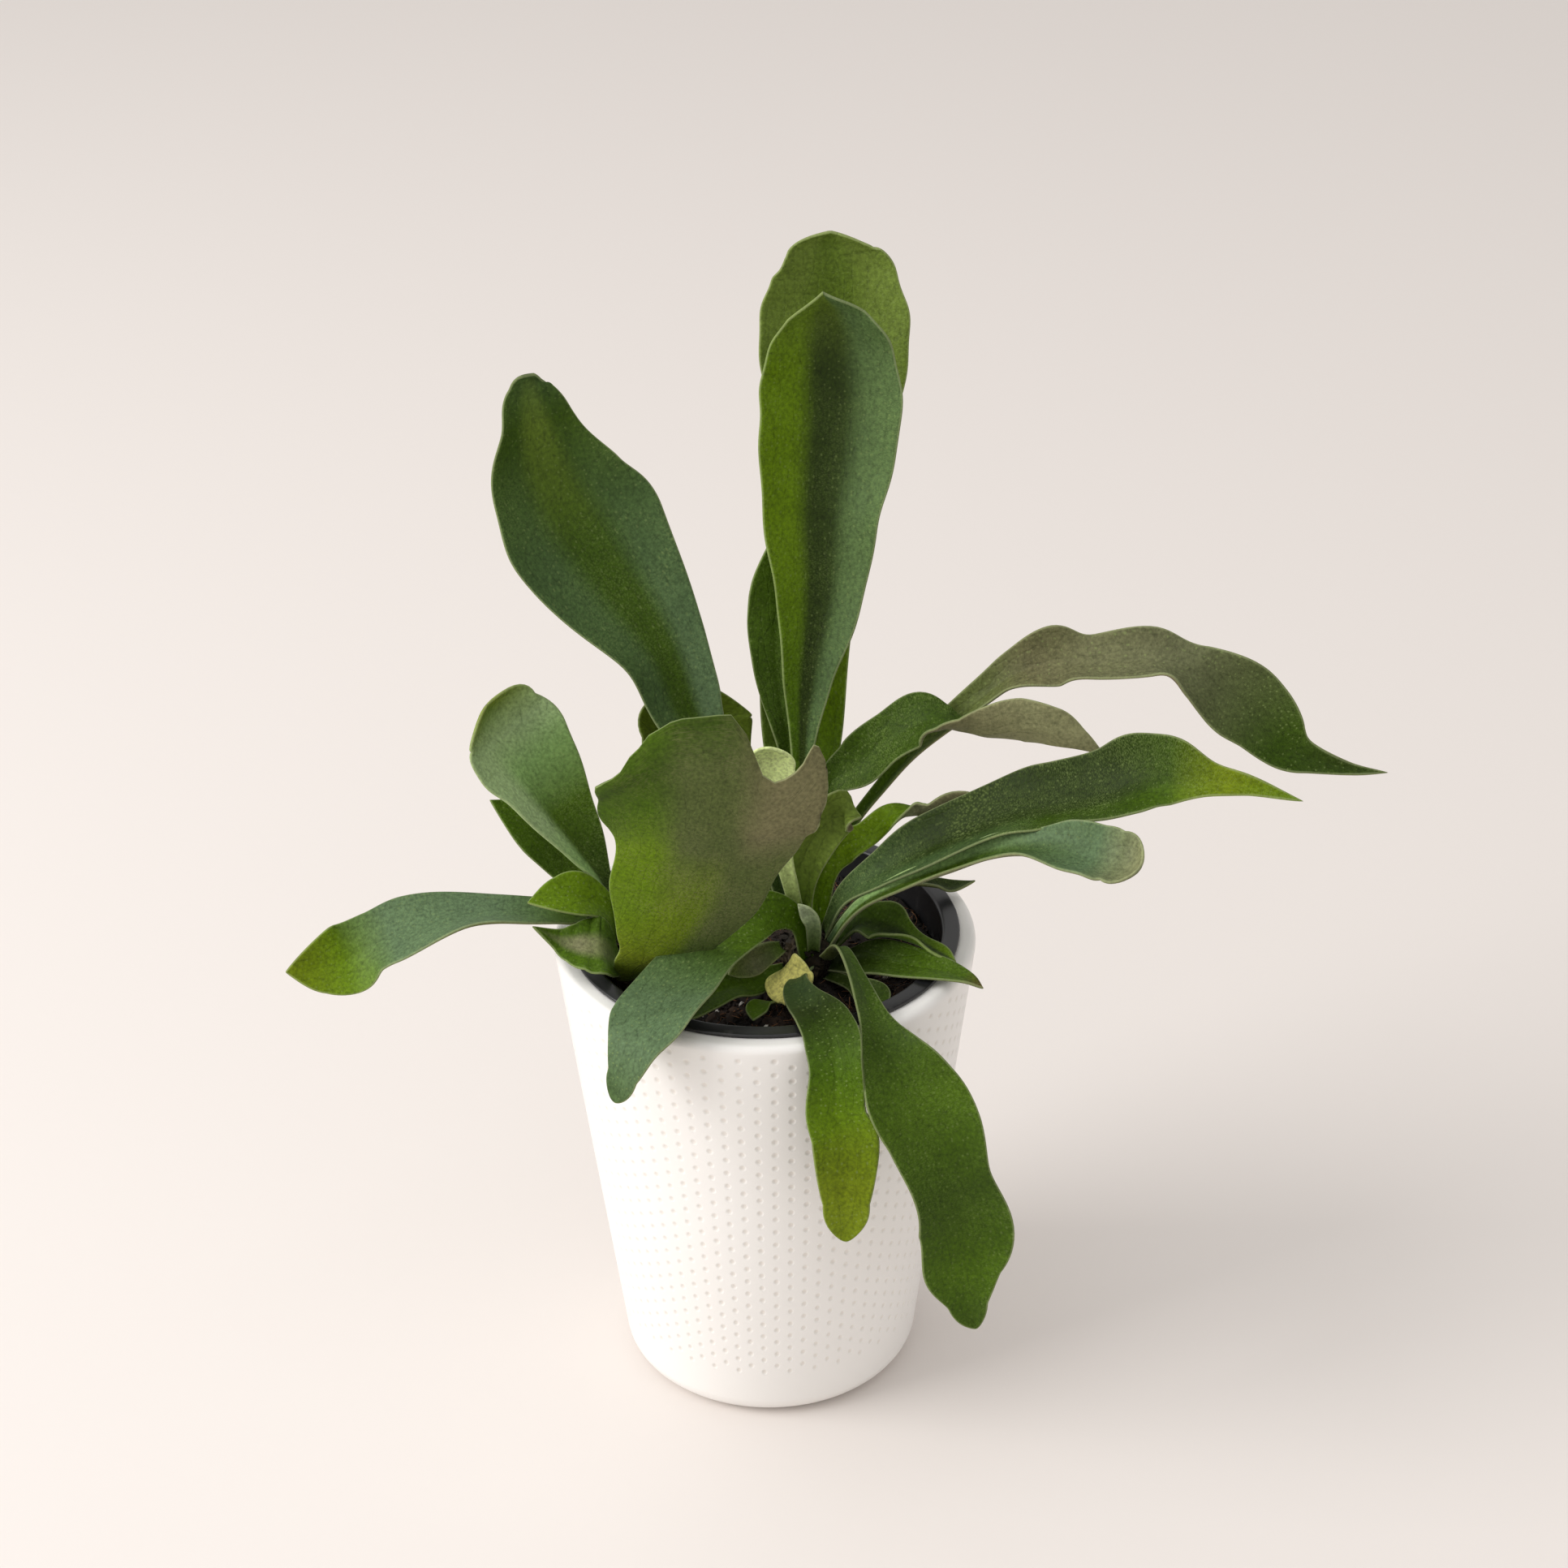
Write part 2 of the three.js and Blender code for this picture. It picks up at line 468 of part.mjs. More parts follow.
// ---- Assembly ----
const plant = new THREE.Group();
const cover = coverPot();
const nursery = nurseryPot();
plant.add(meshOf(cover, 'cover_pot', CERAMIC));
plant.add(meshOf(nursery, 'nursery_pot', BLACK_PLASTIC));
const rhizomes = RHIZOMES.map((spot) => rhizome(spot));
const grownRhizomes = RHIZOMES.map((spot) => rhizome(spot, CLEARANCE));
const mix = cleared(pottingMix(), grownRhizomes);
plant.add(meshOf(mix, 'potting_mix', POTTING_MIX));
RHIZOMES.forEach(({ name }, k) => plant.add(meshOf(rhizomes[k], name, RHIZOME)));

const placed = [potKeepOut(), ...grownRhizomes];
FRONDS.forEach((row) => { // each frond keeps clear of the pots, the rhizomes and the fronds before it
  plant.add(meshOf(cleared(frond(row), placed), row.name, row.material));
  placed.push(frond(row, CLEARANCE));
});

export default plant;
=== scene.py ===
# %% [markdown]
# # A staghorn fern in its pot
# The part is a fern with thirty strap-shaped fronds, rooted in a black nursery pot that hangs by its
# flange inside a white ceramic cover pot covered with small dimples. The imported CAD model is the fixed
# frame: it says how big everything is and where it stands. This lesson gives each piece its real surface.

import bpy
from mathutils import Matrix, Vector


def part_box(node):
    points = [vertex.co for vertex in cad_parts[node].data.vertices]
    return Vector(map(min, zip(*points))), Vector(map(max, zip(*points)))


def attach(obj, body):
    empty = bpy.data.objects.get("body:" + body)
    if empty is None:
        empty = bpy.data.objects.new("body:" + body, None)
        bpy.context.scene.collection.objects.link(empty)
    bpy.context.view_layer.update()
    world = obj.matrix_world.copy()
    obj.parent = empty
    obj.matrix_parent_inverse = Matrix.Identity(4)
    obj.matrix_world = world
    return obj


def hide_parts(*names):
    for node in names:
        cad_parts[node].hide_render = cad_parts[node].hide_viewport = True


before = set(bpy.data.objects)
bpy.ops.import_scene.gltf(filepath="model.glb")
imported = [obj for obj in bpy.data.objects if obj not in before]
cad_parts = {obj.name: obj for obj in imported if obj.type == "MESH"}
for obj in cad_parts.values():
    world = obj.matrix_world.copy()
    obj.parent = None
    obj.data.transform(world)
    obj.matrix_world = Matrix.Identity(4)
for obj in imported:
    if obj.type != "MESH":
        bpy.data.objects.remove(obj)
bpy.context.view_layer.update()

# %% Libraries and units
import math

import bmesh
import bpy
import numpy as np
from mathutils import Matrix, Vector

MM = 0.001
SEED = 7

# %% [markdown]
# ## Sizes that come from the frame
# The cover pot's box gives the axis, the rim's height and its radius. The flange of the nursery pot and the
# top of the potting mix are read the same way, so nothing below needs fitting by eye.

# %% Read the frame
cover_low, cover_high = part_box("cover_pot")
nursery_low, nursery_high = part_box("nursery_pot")
mix_low, mix_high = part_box("potting_mix")
axis_x = (cover_low.x + cover_high.x) / 2
axis_y = (cover_low.y + cover_high.y) / 2
rim_z = cover_high.z
rim_radius = (cover_high.x - cover_low.x) / 2
flange_radius = (nursery_high.x - nursery_low.x) / 2
print("rim at", round(rim_z, 4), "radius", round(rim_radius, 4), "flange", round(flange_radius, 4))

# %% [markdown]
# ## Helpers
# A mesh comes from lists of points and faces, or from a bmesh. A base with modifiers becomes a plain mesh,
# and every piece is tied to the frame in the same way. A node helper keeps the trees short: it makes a node,
# sets its options, and links or fills its inputs.

# %% Pieces
def placed(name, data):
    """An object that shows a mesh, a lamp or a camera, linked into the scene."""
    piece = bpy.data.objects.new(name, data)
    bpy.context.scene.collection.objects.link(piece)
    return piece


def mesh_object(name, points, faces, smooth=True):
    mesh = bpy.data.meshes.new(name)
    mesh.from_pydata([tuple(p) for p in points], [], faces)
    mesh.polygons.foreach_set("use_smooth", [smooth] * len(mesh.polygons))
    mesh.update()
    return placed(name, mesh)


def modelled(name, form):
    """An object made from a bmesh, which is used up."""
    mesh = bpy.data.meshes.new(name)
    form.to_mesh(mesh)
    form.free()
    return placed(name, mesh)


def facing_out(piece):
    """The same piece, with every face turned outwards."""
    form = bmesh.new()
    form.from_mesh(piece.data)
    bmesh.ops.recalc_face_normals(form, faces=form.faces)
    form.to_mesh(piece.data)
    form.free()
    return piece


def applied(base, name, *tools):
    """A plain mesh object with a base's modifiers applied. The base and its tools are removed."""
    bpy.context.view_layer.update()
    evaluated = base.evaluated_get(bpy.context.evaluated_depsgraph_get())
    mesh = bpy.data.meshes.new_from_object(evaluated)
    for spent in (base, *tools):
        bpy.data.objects.remove(spent)
    mesh.name = name
    return placed(name, mesh)


def settle(piece, node_name):
    """Tie a piece to the frame: the body it rides on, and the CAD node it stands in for."""
    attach(piece, "root")
    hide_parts(node_name)
    return piece


# %% Nodes and colours
def node(tree, kind, inputs=None, **options):
    made = tree.nodes.new(kind)
    for key, value in options.items():
        setattr(made, key, value)
    for key, value in (inputs or {}).items():
        if isinstance(value, bpy.types.NodeSocket):
            tree.links.new(value, made.inputs[key])
        else:
            made.inputs[key].default_value = value
    return made


def sums(tree, operation, *values, **options):
    """One Math node, for values that are numbers or sockets."""
    return node(tree, "ShaderNodeMath", dict(enumerate(values)), operation=operation, **options).outputs[0]


def linear(red, green, blue):
    """A colour as it looks on a screen, 0 to 255, in the linear values that shaders use."""
    levels = [v / 255 for v in (red, green, blue)]
    return tuple(v / 12.92 if v <= 0.04045 else ((v + 0.055) / 1.055) ** 2.4 for v in levels)


# %% [markdown]
# ## Camera, floor and light
# The plant is seen from the front and from about thirty degrees above, through a long lens a metre away.
# The camera leans by less than a degree. The floor is one large pale sheet, and the light is soft: a big
# panel at the upper left, like a window, and a pale sky that fills the shadows.

# %% Place the camera
CAMERA_PLACE = (0.00697, -0.9141, 0.7401)
CAMERA_DOWN = math.radians(29.56)
CAMERA_LEAN = math.radians(-0.724)
camera_data = bpy.data.cameras.new("camera")
camera_data.sensor_width = 36
camera_data.lens = 74.53
camera = placed("camera", camera_data)
tilt = Matrix.Rotation(math.pi / 2 - CAMERA_DOWN, 4, "X") @ Matrix.Rotation(CAMERA_LEAN, 4, "Z")
camera.matrix_world = Matrix.Translation(CAMERA_PLACE) @ tilt
bpy.context.scene.camera = camera
bpy.context.scene.view_settings.view_transform = "Standard"
print("camera", CAMERA_PLACE, "lens", camera_data.lens)

# %% Lay the floor
FLOOR_HALF = 25
corners = [(-FLOOR_HALF, -FLOOR_HALF, 0), (FLOOR_HALF, -FLOOR_HALF, 0), (FLOOR_HALF, FLOOR_HALF, 0)]
floor = mesh_object("floor", corners + [(-FLOOR_HALF, FLOOR_HALF, 0)], [(0, 1, 2, 3)])
floor_paint = bpy.data.materials.new("floor_paint")
floor_paint.use_nodes = True
floor_shader = floor_paint.node_tree.nodes["Principled BSDF"]
floor_shader.inputs["Base Color"].default_value = (*linear(234, 227, 222), 1)
floor_shader.inputs["Roughness"].default_value = 0.8
floor.data.materials.append(floor_paint)

# %% Hang the lights
def panel(name, place, aim, size, watts, colour):
    """A soft rectangular light at a place, pointing at another."""
    data = bpy.data.lights.new(name, "AREA")
    data.shape = "SQUARE"
    data.size = size
    data.energy = watts
    data.color = colour
    lamp = placed(name, data)
    direction = Vector(place) - Vector(aim)
    lamp.matrix_world = Matrix.Translation(place) @ direction.to_track_quat("Z", "Y").to_matrix().to_4x4()
    return lamp


PLANT_MIDDLE = (0, 0, 0.2)
panel("window", (-2.0, -0.5, 1.3), PLANT_MIDDLE, 1.4, 37, (1.0, 0.99, 0.98))
panel("top_fill", (-0.4, -0.3, 2.4), PLANT_MIDDLE, 2.0, 12, (0.98, 0.99, 1.0))
sky = bpy.data.worlds.new("sky")
bpy.context.scene.world = sky
sky.use_nodes = True
backdrop = sky.node_tree.nodes["Background"]
backdrop.inputs["Color"].default_value = (*linear(248, 246, 244), 1)
backdrop.inputs["Strength"].default_value = 0.7

# %% [markdown]
# ## The fronds: where each one grows
# A staghorn frond is a thick leathery strap that grows from a rhizome in the mix. Each is given by the few
# stations of its spine, the same ones as its CAD solid: x and y from the pots' axis, height above the rim
# and width, all in millimetres, and the roll of the blade in degrees. The bearing is the direction that it
# grows in, and the cup is how far its middle sinks, as a share of half its width. A forked blade also has a
# crest: how far each lengthwise line reaches, from one edge (-1) to the other (1).

# %% List the stations
FRONDS = [
    {"name": "frond_tall_front", "bearing": 90, "cup": 0.45,
     "spine": [(13, 4, 0, 5, 0), (13, 6, 28, 5, 0), (13, 9, 60, 7, 0), (15, 15, 85, 16, 0),
         (19, 22, 111, 28, 0), (20, 29, 139, 38, 0), (23, 37, 166, 45, 0), (23, 42, 186, 41, 0),
         (22, 44, 199, 25, 0), (21, 45, 207, 0, 0)]},
    {"name": "frond_tall_back", "bearing": 90, "cup": 0.3,
     "spine": [(14, 8, -3, 5, 0), (13, 14, 28, 8, 0), (13, 22, 56, 25, 0), (15, 36, 98, 30, 0),
         (20, 46, 128, 29, 0), (24, 57, 158, 41, 0), (25, 66, 184, 49, 0), (25, 72, 201, 41, 0),
         (24, 75, 209, 28, 0), (24, 77, 215, 0, 0)]},
    {"name": "frond_tall_middle", "bearing": 100, "cup": 0.2,
     "spine": [(9, 6, -3, 5, 0), (9, 10, 28, 5, -5), (9, 15, 58, 7, -10), (6, 19, 78, 13, -10),
         (5, 24, 96, 18, -10), (6, 29, 112, 18, -10), (6, 34, 131, 0, 0)]},
    {"name": "frond_upper_left", "bearing": 135, "cup": 0.25,
     "spine": [(8, 3, -1, 5, 0), (3, 6, 20, 6, -5), (-5, 9, 40, 9, -10), (-14, 12, 56, 15, -15),
         (-23, 15, 73, 23, -20), (-32, 21, 97, 32, -20), (-53, 32, 127, 52, -25),
         (-65, 40, 145, 44, -25), (-70, 46, 163, 27, -15), (-72, 50, 174, 16, -10),
         (-71, 51, 178, 0, 0)]},
    {"name": "frond_back_left", "bearing": 115, "cup": 0.2,
     "spine": [(7, 7, -3, 5, 0), (0, 13, 14, 8, 0), (-9, 19, 32, 14, 0), (-17, 27, 46, 30, -5),
         (-22, 33, 59, 38, -5), (-22, 40, 72, 0, 0)]},
    {"name": "frond_front_broad", "bearing": 262, "cup": 0.1,
     "spine": [(-46, -12, -11, 5, 5), (-46, -18, -6, 7, 5), (-42, -25, 3, 15, 5), (-34, -32, 14, 28, 5),
         (-26, -42, 37, 46, 5), (-19, -52, 62, 54, 5), (-17, -58, 76, 66, 5), (-15, -61, 90, 71, 10),
         (-15, -61, 102, 69, 10), (-16, -59, 114, 66, 10)],
     "crest": [(-1, 0.78), (-0.96, 0.88), (-0.9, 0.89), (-0.78, 0.84), (-0.66, 0.81), (-0.5, 0.8),
         (-0.4, 0.83), (-0.35, 0.91), (-0.3, 0.98), (-0.2, 1), (0.26, 1), (0.5, 0.97), (0.65, 0.92),
         (0.85, 0.81), (1, 0.74)]},
    {"name": "frond_front_arching", "bearing": 225, "cup": 0.12,
     "spine": [(14, -10, -6, 5, -110), (11, -11, 10, 8, -85), (2, -17, 18, 14, -55),
         (-7, -25, 18, 18, -25), (-18, -35, 15, 24, 0), (-28, -47, 10, 30, 5), (-35, -60, 8, 31, 10),
         (-41, -69, 3, 23, 0), (-45, -74, -7, 12, -5), (-48, -75, -16, 0, 0)]},
    {"name": "frond_front_long", "bearing": 305, "cup": 0.35,
     "spine": [(20, -11, -4, 5, -30), (25, -20, 6, 5, -25), (30, -38, 6, 7, -20), (34, -57, 5, 10, -5),
         (39, -69, -1, 19, 20), (45, -78, -10, 30, 20), (53, -84, -24, 31, 25), (58, -88, -40, 26, 25),
         (63, -90, -57, 30, 30), (62, -90, -74, 25, 35), (64, -89, -88, 13, 35), (67, -88, -98, 0, 30)]},
    {"name": "frond_front_short", "bearing": 282, "cup": 0.2,
     "spine": [(14, -13, -7, 5, 20), (10, -28, -2, 8, 20), (12, -42, 1, 12, 15), (18, -59, 5, 17, 10),
         (21, -69, 3, 18, 10), (22, -77, -4, 17, 15), (22, -82, -17, 19, 10), (25, -84, -28, 21, 10),
         (25, -85, -50, 15, 10), (25, -83, -66, 0, 10)]},
    {"name": "frond_right_long", "bearing": 20, "cup": 0.5,
     "spine": [(18, 5, 0, 5, 30), (22, 9, 16, 4, 30), (28, 11, 32, 4, 30), (38, 12, 47, 5, 15),
         (51, 13, 63, 7, 15), (72, 12, 83, 11, 10), (81, 11, 91, 15, 20), (94, 10, 96, 20, 40),
         (106, 8, 97, 18, 25), (127, 4, 100, 19, 25), (139, 2, 94, 19, 55), (150, 0, 87, 25, 80),
         (160, -2, 79, 24, 90), (169, -4, 69, 16, 85), (177, -5, 65, 9, 70), (189, -6, 62, 4, 60),
         (201, -7, 61, 0, 60)]},
    {"name": "frond_right_teal", "bearing": 355, "cup": 0.45,
     "spine": [(19, -5, 1, 5, 25), (25, -10, 19, 8, 25), (36, -14, 31, 14, 25), (49, -18, 43, 21, 20),
         (76, -26, 62, 26, 15), (92, -30, 68, 27, 20), (106, -33, 73, 27, 25), (118, -36, 79, 26, 40),
         (128, -38, 80, 21, 50), (140, -40, 78, 11, 50), (152, -41, 76, 6, 50), (168, -42, 71, 0, 50)]},
    {"name": "frond_right_twist", "bearing": 25, "cup": 0.3,
     "spine": [(17, 2, 1, 5, 50), (19, 6, 29, 6, 45), (22, 8, 50, 10, 35), (31, 8, 59, 17, 30),
         (40, 6, 69, 18, 20), (50, 4, 77, 20, 10), (58, 1, 79, 18, -5), (65, -1, 79, 20, -30),
         (72, -3, 79, 22, -55), (83, -5, 81, 21, -70), (92, -7, 80, 17, -65), (101, -9, 76, 8, -65),
         (109, -10, 71, 0, -60)]},
    {"name": "frond_right_bright", "bearing": 25, "cup": 0.2,
     "spine": [(18, 0, 1, 5, 50), (20, 0, 21, 8, 55), (25, 0, 31, 12, 55), (33, 0, 36, 9, 40),
         (41, -1, 44, 9, 10), (49, -2, 47, 14, -35), (55, -4, 48, 14, -60), (64, -6, 52, 10, -70),
         (84, -10, 52, 0, -60)]},
    {"name": "frond_right_round", "bearing": 345, "cup": 0.6,
     "spine": [(20, -9, -1, 5, 20), (26, -16, 14, 5, 20), (33, -20, 24, 6, 20), (45, -25, 34, 7, 20),
         (59, -30, 43, 8, 20), (71, -37, 53, 10, 10), (82, -45, 60, 13, 10), (92, -53, 64, 17, 25),
         (100, -59, 65, 20, 25), (107, -63, 65, 18, 30), (115, -68, 64, 0, 30)]},
    {"name": "frond_right_rim", "bearing": 12, "cup": 0.3,
     "spine": [(21, 2, -5, 4, 30), (33, 8, 6, 5, 30), (46, 15, 9, 6, 10), (57, 18, 7, 6, 5),
         (63, 19, 5, 6, 5), (71, 20, 6, 0, 0)]},
    {"name": "frond_right_folded", "bearing": 350, "cup": 0.5,
     "spine": [(22, -3, -5, 5, 10), (30, -4, 6, 11, 10), (38, -7, 8, 18, 10), (44, -12, 8, 12, 5),
         (51, -17, 7, 8, -15), (57, -23, 6, 7, -5), (62, -29, 5, 0, 0)]},
    {"name": "frond_right_low", "bearing": 335, "cup": 0.25,
     "spine": [(21, -9, -8, 5, 30), (28, -13, -4, 10, 30), (36, -17, 0, 15, 20), (46, -25, 3, 15, 15),
         (56, -32, 5, 11, 5), (65, -38, 5, 6, 5), (70, -43, 4, 0, 0)]},
    {"name": "frond_right_inner", "bearing": 320, "cup": 0.2,
     "spine": [(20, -10, -11, 4, 30), (28, -22, -7, 5, 30), (33, -29, -6, 10, 30), (37, -34, -5, 9, 30),
         (40, -38, -5, 0, 30)]},
    {"name": "frond_left_oval", "bearing": 170, "cup": 0.4,
     "spine": [(-49, -2, -7, 5, 0), (-50, 0, 6, 6, -5), (-52, 2, 18, 8, -10), (-58, 5, 30, 17, -25),
         (-65, 8, 42, 26, -30), (-72, 11, 54, 34, -30), (-78, 13, 63, 38, -35), (-84, 16, 71, 33, -30),
         (-89, 17, 77, 0, -25)]},
    {"name": "frond_left_under", "bearing": 175, "cup": 0.1,
     "spine": [(-48, 3, -7, 5, 0), (-54, 12, 10, 10, -25), (-65, 16, 17, 15, -40),
         (-76, 20, 29, 18, -40), (-91, 23, 38, 0, -30)]},
    {"name": "frond_left_small", "bearing": 190, "cup": 0.2,
     "spine": [(-50, -8, -5, 4, 0), (-50, -7, 11, 8, -35), (-58, -9, 20, 16, -30),
         (-67, -12, 22, 13, -30), (-77, -15, 21, 0, -30)]},
    {"name": "frond_left_long", "bearing": 182, "cup": 0.25,
     "spine": [(-51, -4, -7, 5, 0), (-57, -3, 5, 6, 0), (-66, -4, 10, 11, -5), (-77, -5, 12, 16, 0),
         (-97, -7, 14, 26, 5), (-118, -10, 10, 27, -15), (-129, -12, 5, 23, -35),
         (-137, -14, 0, 24, -55), (-146, -16, -2, 18, -60), (-157, -19, -2, 0, -55)]},
    {"name": "frond_left_low", "bearing": 200, "cup": 0.15,
     "spine": [(-47, -13, -6, 6, -20), (-51, -22, 8, 22, -25), (-57, -23, 10, 22, -25),
         (-63, -22, 10, 14, -30), (-68, -21, 11, 7, -40), (-75, -23, 17, 0, -30)]},
    {"name": "frond_young_centre", "bearing": 95, "cup": 0.3,
     "spine": [(12, -3, 2, 4, 0), (9, -7, 20, 5, 0), (6, -9, 35, 7, -5), (3, -12, 56, 16, -5),
         (2, -13, 67, 17, -5), (1, -15, 77, 0, 0)]},
    {"name": "frond_centre_olive", "bearing": 60, "cup": 0.3,
     "spine": [(14, -6, 2, 4, 30), (12, -5, 14, 8, 30), (13, -5, 28, 13, 30), (19, -5, 41, 16, 35),
         (26, -5, 48, 15, 50), (32, -5, 46, 0, 45)]},
    {"name": "frond_grey_curl", "bearing": 130, "cup": 0.4,
     "spine": [(16, -10, -3, 4, -40), (16, -13, 9, 5, -40), (14, -13, 14, 5, -45),
         (11, -13, 18, 0, -40)]},
    {"name": "frond_under_arch", "bearing": 220, "cup": 0.2,
     "spine": [(7, -9, -9, 4, -30), (-3, -17, -9, 10, -30), (-12, -26, -5, 11, -25),
         (-19, -36, -3, 10, -20), (-24, -44, -3, 7, -15), (-28, -49, -4, 0, 0)]},
    {"name": "frond_yellow", "bearing": 275, "cup": 0.15,
     "spine": [(10, -9, -8, 5, 20), (5, -16, -5, 12, 40), (6, -22, -4, 17, 50), (10, -27, -5, 14, 30),
         (13, -30, -6, 0, 10)]},
    {"name": "frond_wrinkled", "bearing": 250, "cup": 0.4,
     "spine": [(6, -10, 0, 4, -40), (2, -15, 1, 7, -60), (-3, -19, 0, 10, -70), (-8, -22, -1, 7, -70),
         (-12, -24, -2, 0, -60)]},
    {"name": "frond_seedling", "bearing": 265, "cup": 0.2,
     "spine": [(3, -24, -13, 3, 0), (-1, -31, -8, 6, -5), (-3, -37, -7, 7, -5), (-4, -42, -8, 0, 0)]},
]
DRAWN_RIM_RADIUS = 70
SPREAD = rim_radius / (DRAWN_RIM_RADIUS * MM)
print(len(FRONDS), "fronds")

# %% [markdown]
# ## The fronds: how a blade is built
# A smooth curve runs through the stations, and every row of points is laid out across it. Modelling thirty
# blades by hand would take days, and bent planes would look like ribbon. A rule gives each blade what real
# ones have: a cupped section, a groove down the middle, edges that wave, and a rounded tip.

# %% Follow a spine
def spine_values(spine, u):
    """All five values at u spans from the base, for an array u: a Catmull-Rom curve."""
    knots = np.array(spine, float)
    knots = np.vstack([2 * knots[0] - knots[1], knots, 2 * knots[-1] - knots[-2]])
    span = np.minimum(u.astype(int), len(spine) - 2)
    t = (u - span)[..., None]
    a, b, c, d = (knots[span + step] for step in range(4))
    return b + 0.5 * t * (c - a + t * (2 * a - 5 * b + 4 * c - d + t * (3 * b - a - 3 * c + d)))


def unit(vectors):
    return vectors / np.linalg.norm(vectors, axis=-1, keepdims=True)


def blade_frames(spine, u, bearing):
    """The centre and half width at each u, in metres, and the directions across and up."""
    last = len(spine) - 1
    values = spine_values(spine, u)
    ahead = spine_values(spine, np.clip(u + 0.05, 0, last))[..., :3]
    behind = spine_values(spine, np.clip(u - 0.05, 0, last))[..., :3]
    along = unit(ahead - behind)
    level = np.array([math.sin(math.radians(bearing)), -math.cos(math.radians(bearing)), 0])
    across = unit(level - (along @ level)[..., None] * along)
    roll = np.radians(values[..., 4])[..., None]
    across = across * np.cos(roll) + np.cross(along, across) * np.sin(roll)
    centre = values[..., :3] * MM * (SPREAD, SPREAD, 1) + (axis_x, axis_y, rim_z)
    half = np.maximum(values[..., 3] / 2, 0) * MM * SPREAD
    return centre, half, across, np.cross(across, along)


# %% Lay out a blade's middle surface
COLUMNS = 28
ROW_LENGTH = 1.4 * MM
WAVE_LENGTH = 30 * MM
USUAL_WAVE = 0.7   # how far an edge waves, in millimetres, with the blades that differ
WAVES = {"frond_tall_back": 0.35, "frond_front_broad": 0.3, "frond_left_oval": 0.3, "frond_right_long": 0.9}
GROOVE = 0.45 * MM
GROOVE_HALF_WIDTH = 1.5 * MM
CALM_TIP = 25 * MM   # the waves die away over this much of the tip
STRAY = 0.015        # how far the outline strays, as a share of the half width
END_STEPS = np.array([1.4, 0.9, 0.5, 0.2, 0]) * MM
USUAL_TIP = 0.2   # how blunt a tip is, from fine at -0.3 to round at 1, with the blades that differ
TIPS = {"frond_tall_front": -0.3, "frond_tall_back": 0.5, "frond_upper_left": 0.5, "frond_left_oval": 0.8,
        "frond_right_round": 1, "frond_front_long": 0.7, "frond_front_short": 0.8,
        "frond_front_arching": 0.9, "frond_young_centre": 1, "frond_back_left": 0.8, "frond_yellow": 0.9}


def blade_parameters(length):
    """Grids of t, from base to tip, and s, from edge to edge: close together at the edges and the tip."""
    rows = max(24, int(length / ROW_LENGTH))
    t = np.concatenate([np.linspace(0, 1 - 2.4 * MM / length, rows), 1 - END_STEPS / length])
    s = np.sin(np.pi / 2 * np.linspace(-1, 1, COLUMNS + 1))
    return np.meshgrid(t, s, indexing="ij")


def crest_share(crest, s):
    """The crest's share at s, eased from point to point so that its notches and lobes are round."""
    lines, shares = (np.array(values) for values in zip(*crest))
    place = np.interp(s, lines, np.arange(len(lines)))
    step = np.minimum(place.astype(int), len(lines) - 2)
    t = place - step
    t = 0.4 * t + 0.6 * t * t * (3 - 2 * t)
    return shares[step] + (shares[step + 1] - shares[step]) * t


def tip_fullness(name, place, last):
    """How much fuller a blade is than its stations say, over the last span, at a place counted in spans."""
    closing = np.clip(place - (last - 1), 0, 0.9999)
    return ((1 + closing) / (1 - closing)) ** (TIPS.get(name, USUAL_TIP) / 2)


def grown_unevenly(name, t, s, length, half, to_end):
    """The rise of a blade's waves less its groove, and the factor by which its outline strays."""
    phase = sum(map(ord, name)) % 100 / 16
    run = 2 * np.pi * t * length / WAVE_LENGTH
    share = np.clip(t * 4 - 0.6, 0, 1) * np.clip(to_end / CALM_TIP, 0, 1)
    ripple = np.sin(run + phase + 1.7 * np.sign(s)) + 0.5 * np.sin(run / 2.3 + 2 * phase)
    wave = WAVES.get(name, USUAL_WAVE) * MM * share * np.abs(s) ** 2.5 * ripple
    groove = GROOVE * share * np.exp(-((s * half / GROOVE_HALF_WIDTH) ** 2))
    return wave - groove, 1 + STRAY * share * np.sin(1.4 * run + phase * (2 + np.sign(s)))


def middle_surface(row):
    """The points of the middle surface, with t, s, each point's distance to the nearest edge, and the
    blade's length."""
    spine = row["spine"]
    last = len(spine) - 1
    corners = np.array(spine, float)[:, :3] * MM
    length = np.linalg.norm(np.diff(corners, axis=0), axis=1).sum()
    t, s = blade_parameters(length)
    reach = t
    if "crest" in row:
        reach = t - (1 - crest_share(row["crest"], s)) * t ** 3
    centre, half, across, up = blade_frames(spine, reach * last, row["bearing"])
    to_end = (1 - t) * length
    if "crest" not in row:
        half = half * tip_fullness(row["name"], reach * last, last)
    rise, outline = grown_unevenly(row["name"], t, s, length, half, to_end)
    points = centre + across * (s * half * outline)[..., None]
    points += up * (row["cup"] * half * (s * s - 1) + rise)[..., None]
    to_edge = np.minimum((1 - np.abs(s)) * half, to_end)
    return points, t, s, to_edge, length


# %% [markdown]
# The blade gets its thickness from two skins, upper and under, that share their edge. Half the thickness
# follows a quarter circle near the edge, so the edge is round. The order of the corners makes every face
# point outwards.

# %% Close a blade
HALF_THICKNESS = 0.6 * MM
EDGE_ROUND = 0.8 * MM


def surface_normals(points):
    along = np.gradient(points, axis=0)
    across = np.gradient(points, axis=1)
    return unit(np.cross(across, along) + 1e-12)


